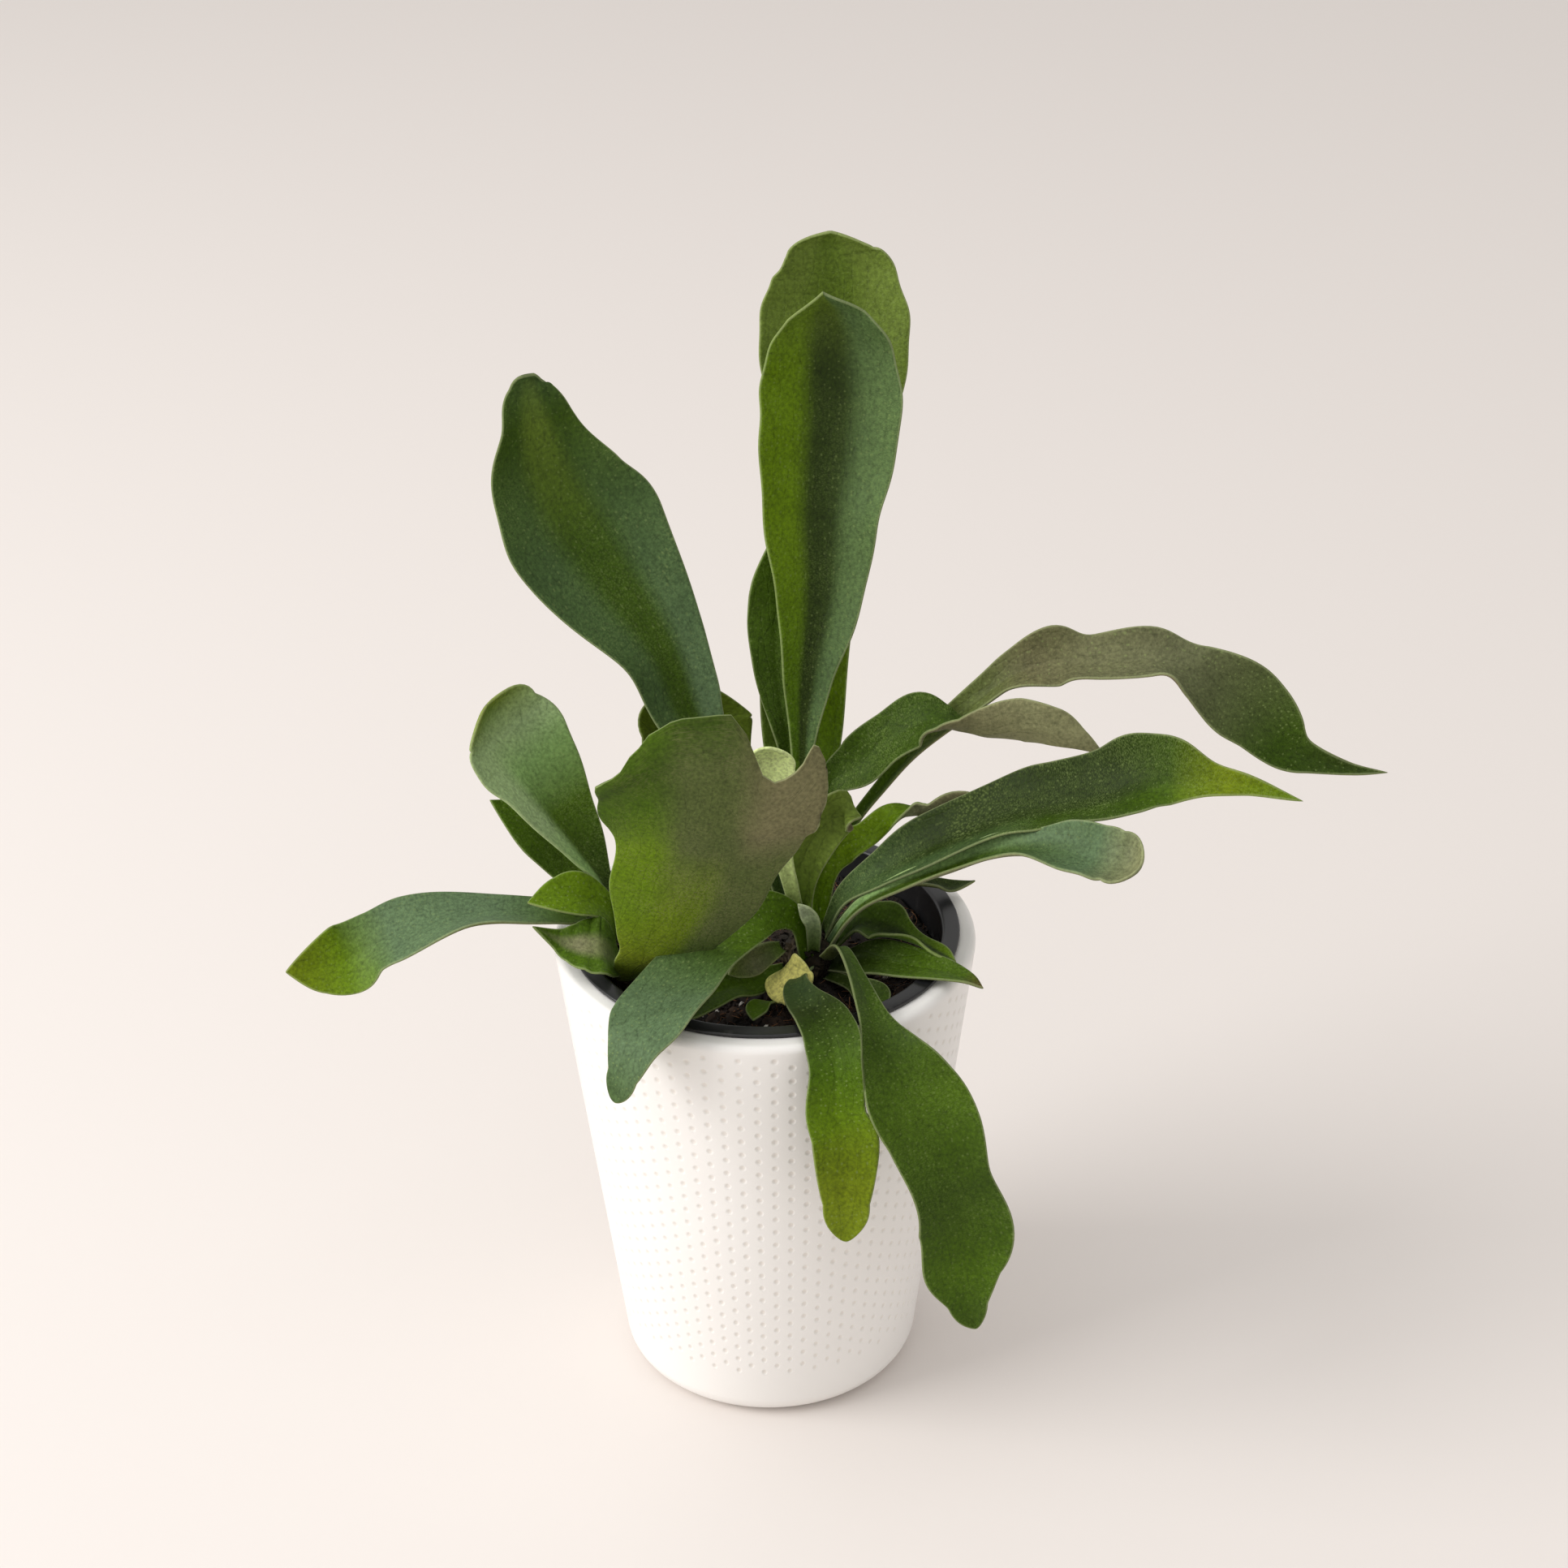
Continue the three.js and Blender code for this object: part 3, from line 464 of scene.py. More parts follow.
def blade_faces(upper, under):
    """Quads of both skins, from two grids of vertex numbers that agree along the border."""
    def quads(grid):
        corners = (grid[:-1, :-1], grid[:-1, 1:], grid[1:, 1:], grid[1:, :-1])
        return np.stack([c.ravel() for c in corners], axis=1)

    return np.vstack([quads(upper), quads(under)[:, ::-1]]).tolist()


def closed_blade(points, to_edge, t, length):
    """Vertices and faces of the pillow, with the row and column that each vertex came from."""
    rows, columns = to_edge.shape
    depth = np.minimum(to_edge, t * length)
    depth[:, [0, -1]] = 0
    depth[[0, -1], :] = 0
    rounding = np.sqrt(np.clip(1 - (1 - np.minimum(depth / EDGE_ROUND, 1)) ** 2, 0, 1))
    lift = surface_normals(points) * (HALF_THICKNESS * rounding)[..., None]
    upper = np.arange(rows * columns).reshape(rows, columns)
    under = upper.copy()
    inner = (slice(1, -1), slice(1, -1))
    under[inner] = upper.size + np.arange((rows - 2) * (columns - 2)).reshape(rows - 2, columns - 2)
    vertices = np.vstack([(points + lift).reshape(-1, 3), (points - lift)[inner].reshape(-1, 3)])
    return vertices, blade_faces(upper, under), inner


# %% [markdown]
# ## The fronds: their colours
# No two fronds are the same green. Young blades are bright, old ones fade to straw, and a bloom of white
# hairs turns some of them silver and partly teal. The rows also paint light and shade: the teal is partly a
# painted sheen where light grazes a blade, lime and yellow on lit and backlit parts are painted light, and
# the darkest greens are painted shade where a blade lies under others. So each frond gets a row of colours
# from its base to its tip for each side of the blade, and one more for either edge where that differs from
# the middle.

# %% Mix the greens
DEEP, GREEN, LEAF = (44, 60, 14), (56, 80, 6), (74, 102, 12)
SHADE, BRIGHT, LIME = (38, 54, 4), (72, 102, 0), (100, 130, 0)
# The sea-green here and the teal below are partly the hairs' colour and partly a painted sheen where light
# grazes a blade.
PALE_LIME, YELLOW, SEA = (106, 130, 10), (120, 138, 8), (96, 120, 84)
TEAL, MINT, SILVER = (70, 94, 50), (140, 176, 104), (160, 184, 130)
OLIVE, STRAW, BROWN = (88, 108, 20), (250, 242, 140), (88, 60, 26)
FELT, MOSS, GREY = (118, 106, 78), (78, 86, 34), (112, 114, 82)
PALE, SUNLIT, PALE_SUN = (240, 255, 176), (94, 116, 34), (108, 128, 48)
STONE, DRAB, ASH = (86, 98, 50), (116, 112, 78), (142, 142, 102)
# The first green here is painted shadow, where a blade lies under others. The second is partly hair colour
# and partly a painted teal sheen, along the lit edge of the tall front frond.
PAINTED_SHADOW, BLOOM_AND_SHEEN, FROST = (18, 28, 0), (84, 108, 60), (196, 208, 170)

# For each frond: its slot, the upper side from base to tip and the under side. Where the edges differ from
# the middle, two more rows follow, for the minus side and the plus side. These edge rows are mostly painted
# light and shade: lit and backlit bands, teal sheen, and darker shade along one side of a blade.
FINISHES = {
    "frond_tall_front": ("frond_dark", [GREEN, SHADE, DEEP, DEEP, SUNLIT], [MOSS],
                         [LEAF, BRIGHT, LIME, LIME, SUNLIT], [GREEN, TEAL, BLOOM_AND_SHEEN, BLOOM_AND_SHEEN, TEAL]),
    "frond_tall_back": ("frond_dark", [GREEN, LEAF, SUNLIT, SUNLIT], [MOSS],
                        [LEAF, SUNLIT, PALE_SUN, PALE_SUN], [LEAF, LIME, PALE_SUN, PALE_SUN]),
    "frond_tall_middle": ("frond_dark", [GREEN, GREEN, LEAF], [MOSS]),
    "frond_upper_left": ("frond_dark", [GREEN, TEAL, GREEN, GREEN, SUNLIT, TEAL], [MOSS],
                         [GREEN, TEAL, TEAL, TEAL, GREEN, TEAL], [TEAL, SEA, SEA, TEAL, GREEN, TEAL]),
    "frond_back_left": ("frond_old", [OLIVE], [FELT]),
    "frond_front_broad": ("frond_bright", [LEAF, BRIGHT],
                          [YELLOW, YELLOW, YELLOW, PALE_LIME, STONE, STONE, STONE, GREEN],
                          [YELLOW, LIME, LEAF, STONE, STONE, DRAB, DRAB, DRAB],
                          [YELLOW, YELLOW, YELLOW, LIME, LIME, BRIGHT, GREEN, LEAF]),
    "frond_front_arching": ("frond_bright", [LEAF, BRIGHT, LEAF, SEA, SEA, TEAL], [MOSS]),
    "frond_front_long": ("frond_dark", [GREEN, GREEN, GREEN, LEAF, GREEN, BRIGHT, GREEN], [MOSS]),
    "frond_front_short": ("frond_bright", [TEAL, TEAL, DEEP, GREEN, BRIGHT, LIME, YELLOW, YELLOW], [MOSS]),
    "frond_right_long": ("frond_bright", [LEAF, LEAF, DRAB, GREY, GREEN, DEEP], [FELT]),
    "frond_right_teal": ("frond_silver", [DEEP, TEAL, DEEP, DEEP, DEEP, GREEN, YELLOW, LIME], [MOSS],
                         None, [DEEP, TEAL, TEAL, GREEN, GREEN, LEAF, YELLOW, LIME]),
    "frond_right_twist": ("frond_silver", [GREEN, GREEN, GREEN, GREY], [LEAF, LEAF, DRAB, ASH, ASH]),
    "frond_right_bright": ("frond_bright", [BRIGHT, LIME, LIME, BRIGHT, LEAF], [LEAF, LEAF, GREY, DRAB]),
    "frond_right_round": ("frond_dark", [GREEN, GREEN, LEAF, TEAL, SEA, ASH], [GREY],
                          [SEA, MINT, MINT, SEA, SEA, ASH], None),
    "frond_right_rim": ("frond_dark", [GREEN, SHADE, DEEP], [MOSS]),
    "frond_right_folded": ("frond_dark", [GREEN, SHADE, GREEN], [MOSS],
                           [GREEN, LEAF, LIME], [GREEN, LEAF, LIME]),
    "frond_right_low": ("frond_dark", [PAINTED_SHADOW, SHADE, GREEN, LEAF, LEAF, BROWN], [MOSS]),
    "frond_right_inner": ("frond_dark", [SHADE, GREEN], [MOSS]),
    "frond_left_oval": ("frond_silver", [PAINTED_SHADOW, SHADE, GREEN, LEAF, MINT, SILVER, PALE_LIME], [MOSS],
                        [SHADE, LEAF, MINT, SILVER, SILVER, SILVER, YELLOW],
                        [PAINTED_SHADOW, SHADE, GREEN, LEAF, MINT, SILVER, YELLOW]),
    "frond_left_under": ("frond_silver", [GREEN, LEAF, BRIGHT], [MOSS]),
    "frond_left_small": ("frond_bright", [BRIGHT, LIME, LIME], [MOSS]),
    "frond_left_long": ("frond_dark", [LEAF, LEAF, SEA, SEA, LIME, YELLOW], [MOSS]),
    "frond_left_low": ("frond_dark", [LEAF, ASH, LEAF], [MOSS], [LEAF, BRIGHT, LEAF], [LEAF, BRIGHT, LEAF]),
    "frond_young_centre": ("frond_silver", [LIME, PALE, PALE], [PALE]),
    "frond_centre_olive": ("frond_old", [LEAF, PALE_SUN, PALE_SUN], [FELT]),
    "frond_grey_curl": ("frond_silver", [LEAF, FROST], [FROST]),
    "frond_under_arch": ("frond_dark", [GREEN, BRIGHT, LEAF], [MOSS]),
    "frond_yellow": ("frond_old", [LEAF, STRAW, STRAW], [STRAW]),
    "frond_wrinkled": ("frond_silver", [LEAF, GREY, SUNLIT], [GREY]),
    "frond_seedling": ("frond_bright", [LEAF, BRIGHT], [MOSS]),
}


def along_blade(colours, t):
    """Colours spread evenly from base to tip, read at t."""
    values = np.array([linear(*c) for c in colours])
    places = np.linspace(0, 1, len(colours))
    return np.stack([np.interp(t, places, values[:, k]) for k in range(3)], axis=-1)


def towards(skin, edge_colours, t, weight):
    """The skin with one edge's colours, where it has them: mostly painted light and shade on that side."""
    if edge_colours is None:
        return skin
    return skin + (along_blade(edge_colours, t) - skin) * weight[..., None]


EDGE_BAND = (0.2, 0.5)   # where the edge colours start, and where they are full, as a share of s


def painted(name, t, s):
    """The upper and the under skin's colour at every point of the grid."""
    _, upper, under, *edges = FINISHES[name]
    minus, plus = edges or (None, None)
    start, full = EDGE_BAND
    skins = []
    for colours in (upper, under):
        skin = towards(along_blade(colours, t), minus, t, np.clip((-s - start) / (full - start), 0, 1))
        skins.append(towards(skin, plus, t, np.clip((s - start) / (full - start), 0, 1)))
    return skins


# %% [markdown]
# ## The fronds: their skin
# One node group holds what every frond's skin has: faint veins that run with the blade, a mottled green,
# star-shaped white hairs that look like specks, and the pale rim. It reads the colour and the distance to
# the edge from attributes on the mesh, and lays the veins in the blade's own map. Five finishes use it with
# their own values. The leaf also lets some light through, so a blade glows where the sun is behind it.

# %% Build the skin group
def group(name, numbers=(), outputs=()):
    tree = bpy.data.node_groups.new(name, "ShaderNodeTree")
    for label, value in numbers:
        kind = "NodeSocketColor" if isinstance(value, tuple) else "NodeSocketFloat"
        tree.interface.new_socket(label, in_out="INPUT", socket_type=kind).default_value = value
    for label, kind in outputs:
        tree.interface.new_socket(label, in_out="OUTPUT", socket_type=kind)
    return tree, tree.nodes.new("NodeGroupInput").outputs, tree.nodes.new("NodeGroupOutput").inputs


def blend_colours(tree, amount, first, second, mode="MIX"):
    mixer = node(tree, "ShaderNodeMix", {0: amount}, data_type="RGBA", blend_type=mode)
    for slot, value in ((6, first), (7, second)):
        if isinstance(value, bpy.types.NodeSocket):
            tree.links.new(value, mixer.inputs[slot])
        else:
            mixer.inputs[slot].default_value = (*value[:3], 1)
    return mixer.outputs[2]


def fade(tree, value, start, end):
    """From 0 where the value is at start to 1 where it is at end."""
    ramp = node(tree, "ShaderNodeMapRange", {"Value": value, "From Min": start, "From Max": end})
    ramp.interpolation_type = "SMOOTHSTEP"
    return ramp.outputs["Result"]


def noise(tree, place, scale, detail=2.0, roughness=0.5):
    return node(tree, "ShaderNodeTexNoise",
                {"Vector": place, "Scale": scale, "Detail": detail, "Roughness": roughness}).outputs["Fac"]


def scaled(tree, vector, factors):
    return node(tree, "ShaderNodeVectorMath", {0: vector, 1: factors}, operation="MULTIPLY").outputs[0]


VEIN_CELLS = (250, 75, 0)      # cells to the metre, across and along the blade
HAIR_CELLS = (1100, 2000, 0)
SPECK_CELLS = 620.0


def cells(tree, place, scale=1.0, feature="F1"):
    return node(tree, "ShaderNodeTexVoronoi", {"Vector": place, "Scale": scale}, feature=feature,
                voronoi_dimensions="2D").outputs


def vein_lines(tree, place, chart):
    """1 along the veins, which are the borders of long cells, and 0 between them."""
    bend = node(tree, "ShaderNodeTexNoise", {"Vector": place, "Scale": 160.0}).outputs["Color"]
    bend = scaled(tree, bend, (0.0022, 0.004, 0))
    laid = node(tree, "ShaderNodeVectorMath", {0: chart, 1: bend}, operation="ADD").outputs[0]
    borders = cells(tree, scaled(tree, laid, VEIN_CELLS), feature="DISTANCE_TO_EDGE")["Distance"]
    return fade(tree, borders, 0.10, 0.0)


def star_specks(tree, chart):
    """1 on small spots in about one cell of five, and 0 between them."""
    stars = cells(tree, chart, SPECK_CELLS)
    chosen = node(tree, "ShaderNodeSeparateColor", {0: stars["Color"]}).outputs[0]
    return sums(tree, "MULTIPLY", fade(tree, stars["Distance"], 0.3, 0.12), fade(tree, chosen, 0.7, 0.9))


def hair_cover(tree, given, patches, grain, hairs, specks, edge):
    """How much of the green the white hairs hide."""
    density = sums(tree, "MULTIPLY", fade(tree, patches, 0.3, 0.7), given["Hairs"])
    near_edge = sums(tree, "MULTIPLY", fade(tree, edge, 3 * MM, 0), 0.05)
    haze = sums(tree, "MULTIPLY", fade(tree, grain, 0.35, 0.75), 0.3)
    cover = sums(tree, "MULTIPLY", sums(tree, "ADD", hairs, haze), sums(tree, "ADD", density, near_edge))
    return sums(tree, "MULTIPLY_ADD", specks, given["Specks"], cover, use_clamp=True)


def mottled(tree, given, tone, patches, grain, veins):
    """The green, darker and lighter in patches and grain, and darker along the veins."""
    shade = sums(tree, "MULTIPLY", sums(tree, "SUBTRACT", patches, 0.5), given["Mottle"])
    shade = sums(tree, "ADD", shade, sums(tree, "MULTIPLY", sums(tree, "SUBTRACT", grain, 0.5), 1.3))
    shade = sums(tree, "SUBTRACT", shade, sums(tree, "MULTIPLY", veins, given["Veins"]))
    shade = sums(tree, "ADD", shade, 1.0)
    grey = node(tree, "ShaderNodeCombineColor", {0: shade, 1: shade, 2: shade}).outputs[0]
    return blend_colours(tree, 1.0, tone, grey, "MULTIPLY")


def skin_group():
    outputs = (("Color", "NodeSocketColor"), ("Roughness", "NodeSocketFloat"), ("Height", "NodeSocketFloat"))
    numbers = (("Hairs", 0.5), ("Specks", 0.3), ("Hair Color", (0.36, 0.46, 0.16, 1)), ("Veins", 0.3),
               ("Mottle", 0.3), ("Base Roughness", 0.5), ("Rim Color", (0.5, 0.56, 0.28, 1)))
    tree, given, result = group("frond_skin", numbers, outputs)
    place = node(tree, "ShaderNodeTexCoord").outputs["Object"]
    tone = node(tree, "ShaderNodeAttribute", attribute_name="tone").outputs["Color"]
    edge = node(tree, "ShaderNodeAttribute", attribute_name="edge").outputs["Fac"]
    chart = node(tree, "ShaderNodeUVMap", uv_map="blade").outputs["UV"]
    veins = vein_lines(tree, place, chart)
    grain = noise(tree, place, 900, 2.0)
    patches = noise(tree, place, 55, 3.0, 0.6)
    hairs = fade(tree, cells(tree, scaled(tree, chart, HAIR_CELLS))[0], 0.45, 0.15)
    cover = hair_cover(tree, given, patches, grain, hairs, star_specks(tree, chart), edge)
    colour = mottled(tree, given, tone, patches, grain, veins)
    colour = blend_colours(tree, cover, colour, given["Hair Color"])
    rim = sums(tree, "MULTIPLY", fade(tree, edge, 0.4 * MM, 0.1 * MM), 0.32)
    tree.links.new(blend_colours(tree, rim, colour, given["Rim Color"]), result["Color"])
    rough = sums(tree, "MULTIPLY", sums(tree, "SUBTRACT", patches, 0.5), 0.25)
    rough = sums(tree, "ADD", sums(tree, "ADD", rough, given["Base Roughness"]), cover)
    tree.links.new(rough, result["Roughness"])
    height = sums(tree, "ADD", sums(tree, "MULTIPLY", veins, -0.5), sums(tree, "MULTIPLY", grain, 0.5))
    height = sums(tree, "ADD", height, sums(tree, "MULTIPLY", hairs, 0.25))
    tree.links.new(height, result["Height"])
    return tree


FROND_SKIN = skin_group()


# %% Make the five finishes
def new_material(name):
    material = bpy.data.materials.new(name)
    material.use_nodes = True
    tree = material.node_tree
    return material, tree, tree.nodes["Principled BSDF"]


def lay_on(tree, surface, colour, roughness, height, strength, depth):
    """Give a surface its colour and roughness, and a fine relief of some strength and depth."""
    bump = node(tree, "ShaderNodeBump", {"Height": height, "Strength": strength, "Distance": depth})
    tree.links.new(colour, surface.inputs["Base Color"])
    tree.links.new(roughness, surface.inputs["Roughness"])
    tree.links.new(bump.outputs["Normal"], surface.inputs["Normal"])


def frond_finish(name, glow, glow_share, sheen, **values):
    """A frond's material: its skin on a satin surface, mixed with light that comes through the blade."""
    material, tree, surface = new_material(name)
    skin = tree.nodes.new("ShaderNodeGroup")
    skin.node_tree = FROND_SKIN
    for label, value in values.items():
        skin.inputs[label.replace("_", " ")].default_value = value
    colour, roughness, height = skin.outputs
    lay_on(tree, surface, colour, roughness, height, 0.5, 0.25 * MM)
    surface.inputs["Sheen Weight"].default_value = sheen
    surface.inputs["Sheen Roughness"].default_value = 0.4
    surface.inputs["Sheen Tint"].default_value = (0.85, 1.0, 0.88, 1)
    surface.inputs["Specular IOR Level"].default_value = 0.16
    through = node(tree, "ShaderNodeBsdfTranslucent", {"Color": (*linear(*glow), 1)})
    both = node(tree, "ShaderNodeMixShader", {0: glow_share, 1: surface.outputs[0], 2: through.outputs[0]})
    tree.links.new(both.outputs[0], tree.nodes["Material Output"].inputs["Surface"])
    return material


UPPER_SKINS = {
    "frond_dark": frond_finish("skin_dark", (110, 150, 4), 0.16, 0.02, Hairs=0.1, Specks=0.16, Veins=0.1,
                               Mottle=0.45, Base_Roughness=0.52),
    "frond_bright": frond_finish("skin_bright", (150, 190, 4), 0.2, 0.02, Hairs=0.08, Specks=0.3, Veins=0.12,
                                 Mottle=0.6, Base_Roughness=0.52),
    "frond_silver": frond_finish("skin_silver", (120, 160, 20), 0.16, 0.03, Hairs=0.22, Specks=0.2,
                                 Veins=0.08, Mottle=0.4, Base_Roughness=0.55),
    "frond_old": frond_finish("skin_old", (190, 180, 60), 0.2, 0.02, Hairs=0.1, Specks=0.05, Veins=0.2,
                              Base_Roughness=0.6),
}
UNDER_SKIN = frond_finish("skin_felt", (120, 150, 10), 0.12, 0.06, Hairs=0.3, Specks=0, Veins=0.07,
                          Hair_Color=(*linear(140, 130, 100), 1), Base_Roughness=0.75)
print("finishes", [m.name for m in bpy.data.materials])


# %% Build every frond
def frond_piece(row):
    points, t, s, to_edge, length = middle_surface(row)
    vertices, faces, inner = closed_blade(points, to_edge, t, length)
    piece = mesh_object(row["name"].replace("frond_", "blade_"), vertices, faces)
    mesh = piece.data

    def both_skins(upper, under):
        return np.concatenate([upper.reshape(upper.shape[0] * upper.shape[1], -1),
                               under[inner].reshape(-1, upper.shape[2] if upper.ndim > 2 else 1)])

    upper, under = painted(row["name"], t, s)
    tone = both_skins(upper, under)
    colours = mesh.color_attributes.new("tone", "FLOAT_COLOR", "POINT")
    colours.data.foreach_set("color", np.column_stack([tone, np.ones(len(tone))]).ravel())
    edge = mesh.attributes.new("edge", "FLOAT", "POINT")
    edge.data.foreach_set("value", both_skins(to_edge, to_edge).ravel())
    half = to_edge.max(axis=1, keepdims=True)
    chart = both_skins(np.stack([s * half, t * length], axis=-1), np.stack([s * half, t * length], axis=-1))
    loops = np.zeros(len(mesh.loops), dtype=np.int32)
    mesh.loops.foreach_get("vertex_index", loops)
    mesh.uv_layers.new(name="blade").data.foreach_set("uv", chart[loops].ravel())
    slot = FINISHES[row["name"]][0]
    mesh.materials.append(UPPER_SKINS[slot])
    mesh.materials.append(UNDER_SKIN)
    under_first = len(faces) // 2
    mesh.polygons.foreach_set("material_index", [0] * under_first + [1] * (len(faces) - under_first))
    return settle(piece, row["name"])


blades = [frond_piece(row) for row in FRONDS]
print("blades", len(blades), "with", sum(len(b.data.polygons) for b in blades), "quads")


# %% [markdown]
# ## The cover pot: a sleeve of dimples
# The cover pot is satin white ceramic with some two thousand small hollows in its wall, in columns that
# are staggered by half a step. Bump alone would leave the silhouette and the light wrong, and a grid fine
# enough to shape each hollow would be far too heavy. So one tile with two hollows is modelled, and geometry
# nodes lay copies of it side by side, roll the sheet round the tapered wall, and weld it to the foot and
# the lip, which are turned.

# %% Shape one tile
COLUMN_PAIRS = 38
ROWS_OF_DIMPLES = 25
DIMPLED_FROM = 20.3 * MM
DIMPLED_TO = 162 * MM
FOOT_RATIO = 0.73
FOOT_ROUND = 9 * MM
LIP_ROUND = 2.5 * MM
COVER_WALL = 7 * MM
COVER_FLOOR = 6 * MM
FOOT_RECESS = 0.8 * MM
INNER_LIP_ROUND = 1.5 * MM
DIMPLE_RINGS = ((1.55, 0), (1.1, -0.17), (0.6, -0.36))
DIMPLE_DEPTH = 0.42 * MM
DIMPLE_SIDES = 12
tile_width = 2 * math.pi * rim_radius / COLUMN_PAIRS
tile_height = (DIMPLED_TO - DIMPLED_FROM) / ROWS_OF_DIMPLES


def ring(mesh, centre, radius, height, sides):
    angles = [2 * math.pi * k / sides for k in range(sides)]
    return [mesh.verts.new((centre[0] + radius * math.cos(a), centre[1] + radius * math.sin(a), height))
            for a in angles]


def add_dimple(mesh, centre):
    """A round hollow, open at the top. Gives the edges of its mouth."""
    rings = [ring(mesh, centre, r * MM, depth * MM, DIMPLE_SIDES) for r, depth in DIMPLE_RINGS]
    bottom = mesh.verts.new((*centre, -DIMPLE_DEPTH))
    for k in range(DIMPLE_SIDES):
        after = (k + 1) % DIMPLE_SIDES
        for outer, inner in zip(rings, rings[1:]):
            mesh.faces.new((outer[k], outer[after], inner[after], inner[k]))
        mesh.faces.new((rings[-1][k], rings[-1][after], bottom))
    return [mesh.edges.get((rings[0][k], rings[0][(k + 1) % DIMPLE_SIDES])) for k in range(DIMPLE_SIDES)]


def dimple_tile():
    mesh = bmesh.new()
    x, y = tile_width / 2, tile_height / 2
    across = [-x, -x / 2, 0, x / 2, x]
    outline = [(a, -y) for a in across] + [(a, y) for a in reversed(across)]
    corners = [mesh.verts.new((*spot, 0)) for spot in outline]
    edges = [mesh.edges.new((a, b)) for a, b in zip(corners, corners[1:] + corners[:1])]
    edges += add_dimple(mesh, (-x / 2, -y / 2)) + add_dimple(mesh, (x / 2, y / 2))
    plate = bmesh.ops.triangle_fill(mesh, use_beauty=True, edges=edges, normal=(0, 0, 1))["geom"]
    for face in (part for part in plate if isinstance(part, bmesh.types.BMFace)):
        if face.normal.z < 0:
            face.normal_flip()
    return modelled("dimple_tile", mesh)


tile = dimple_tile()
print("one tile has", len(tile.data.polygons), "faces")

# %% Turn the foot, the lip and the inside
def arc(radius, z, size, start, end, steps=8):
    """Points of a round corner about (radius, z), between two angles in degrees."""
    angles = np.radians(np.linspace(start, end, steps + 1))
    return [(radius + size * math.cos(a), z + size * math.sin(a)) for a in angles]


def turned(name, profiles, sides, middle=(0, 0)):
    """A mesh turned about an upright axis from profiles of (radius, z), which run from the bottom round
    the outside to the top. A point on the axis becomes a single vertex."""
    points, faces = [], []
    for profile in profiles:
        rows = []
        for radius, z in profile:
            count = 1 if radius < 1e-7 else sides
            rows.append([len(points) + k % count for k in range(sides + 1)])
            angles = [2 * math.pi * k / sides for k in range(count)]
            points += [(middle[0] + radius * math.cos(angle), middle[1] + radius * math.sin(angle), z)
                       for angle in angles]
        for low_row, high_row in zip(rows, rows[1:]):
            for k in range(sides):
                quad = (low_row[k], low_row[k + 1], high_row[k + 1], high_row[k])
                faces.append(tuple(dict.fromkeys(quad)))
    return mesh_object(name, points, faces)


foot_radius = rim_radius * FOOT_RATIO
taper = math.degrees(math.atan2(rim_radius - foot_radius, rim_z))
foot_corner = arc(foot_radius - FOOT_ROUND, FOOT_ROUND, FOOT_ROUND, -90, -taper)
lip_corner = arc(rim_radius - LIP_ROUND, rim_z - LIP_ROUND, LIP_ROUND, -taper, 90)
wall_start, wall_end = foot_corner[-1], lip_corner[0]


def wall_radius(z):
    return float(np.interp(z, (wall_start[1], wall_end[1]), (wall_start[0], wall_end[0])))


inner_rim, inner_foot = rim_radius - COVER_WALL, foot_radius - COVER_WALL
wall_steps = np.linspace(rim_z - 2 * MM, COVER_FLOOR + FOOT_ROUND, 8)[1:-1]
inner_wall = [(float(np.interp(z, (COVER_FLOOR, rim_z), (inner_foot, inner_rim))), float(z))
              for z in wall_steps]
foot_profile = [(0, FOOT_RECESS), (foot_radius * 0.72, FOOT_RECESS), (foot_radius * 0.75, 0), *foot_corner,
                (wall_radius(DIMPLED_FROM), DIMPLED_FROM)]
lip_profile = [(wall_radius(DIMPLED_TO), DIMPLED_TO), *lip_corner,
               *arc(inner_rim + INNER_LIP_ROUND, rim_z - INNER_LIP_ROUND, INNER_LIP_ROUND, 90, 180, 4),
               *inner_wall,
               *arc(inner_foot - FOOT_ROUND, COVER_FLOOR + FOOT_ROUND, FOOT_ROUND, 0, -90), (0, COVER_FLOOR)]
cover_base = turned("cover_base", (foot_profile, lip_profile), 4 * COLUMN_PAIRS)
print("turned", len(cover_base.data.polygons), "faces; the wall leans", round(taper, 2), "degrees")

# %% Roll the tiles round the wall with geometry nodes
def geometry_tree(name, sockets):
    tree = bpy.data.node_groups.new(name, "GeometryNodeTree")
    tree.is_modifier = True
    tree.interface.new_socket("Geometry", in_out="INPUT", socket_type="NodeSocketGeometry")
    for label, kind in sockets:
        tree.interface.new_socket(label, in_out="INPUT", socket_type=f"NodeSocket{kind}")
    tree.interface.new_socket("Geometry", in_out="OUTPUT", socket_type="NodeSocketGeometry")
    return tree, tree.nodes.new("NodeGroupInput").outputs, tree.nodes.new("NodeGroupOutput").inputs


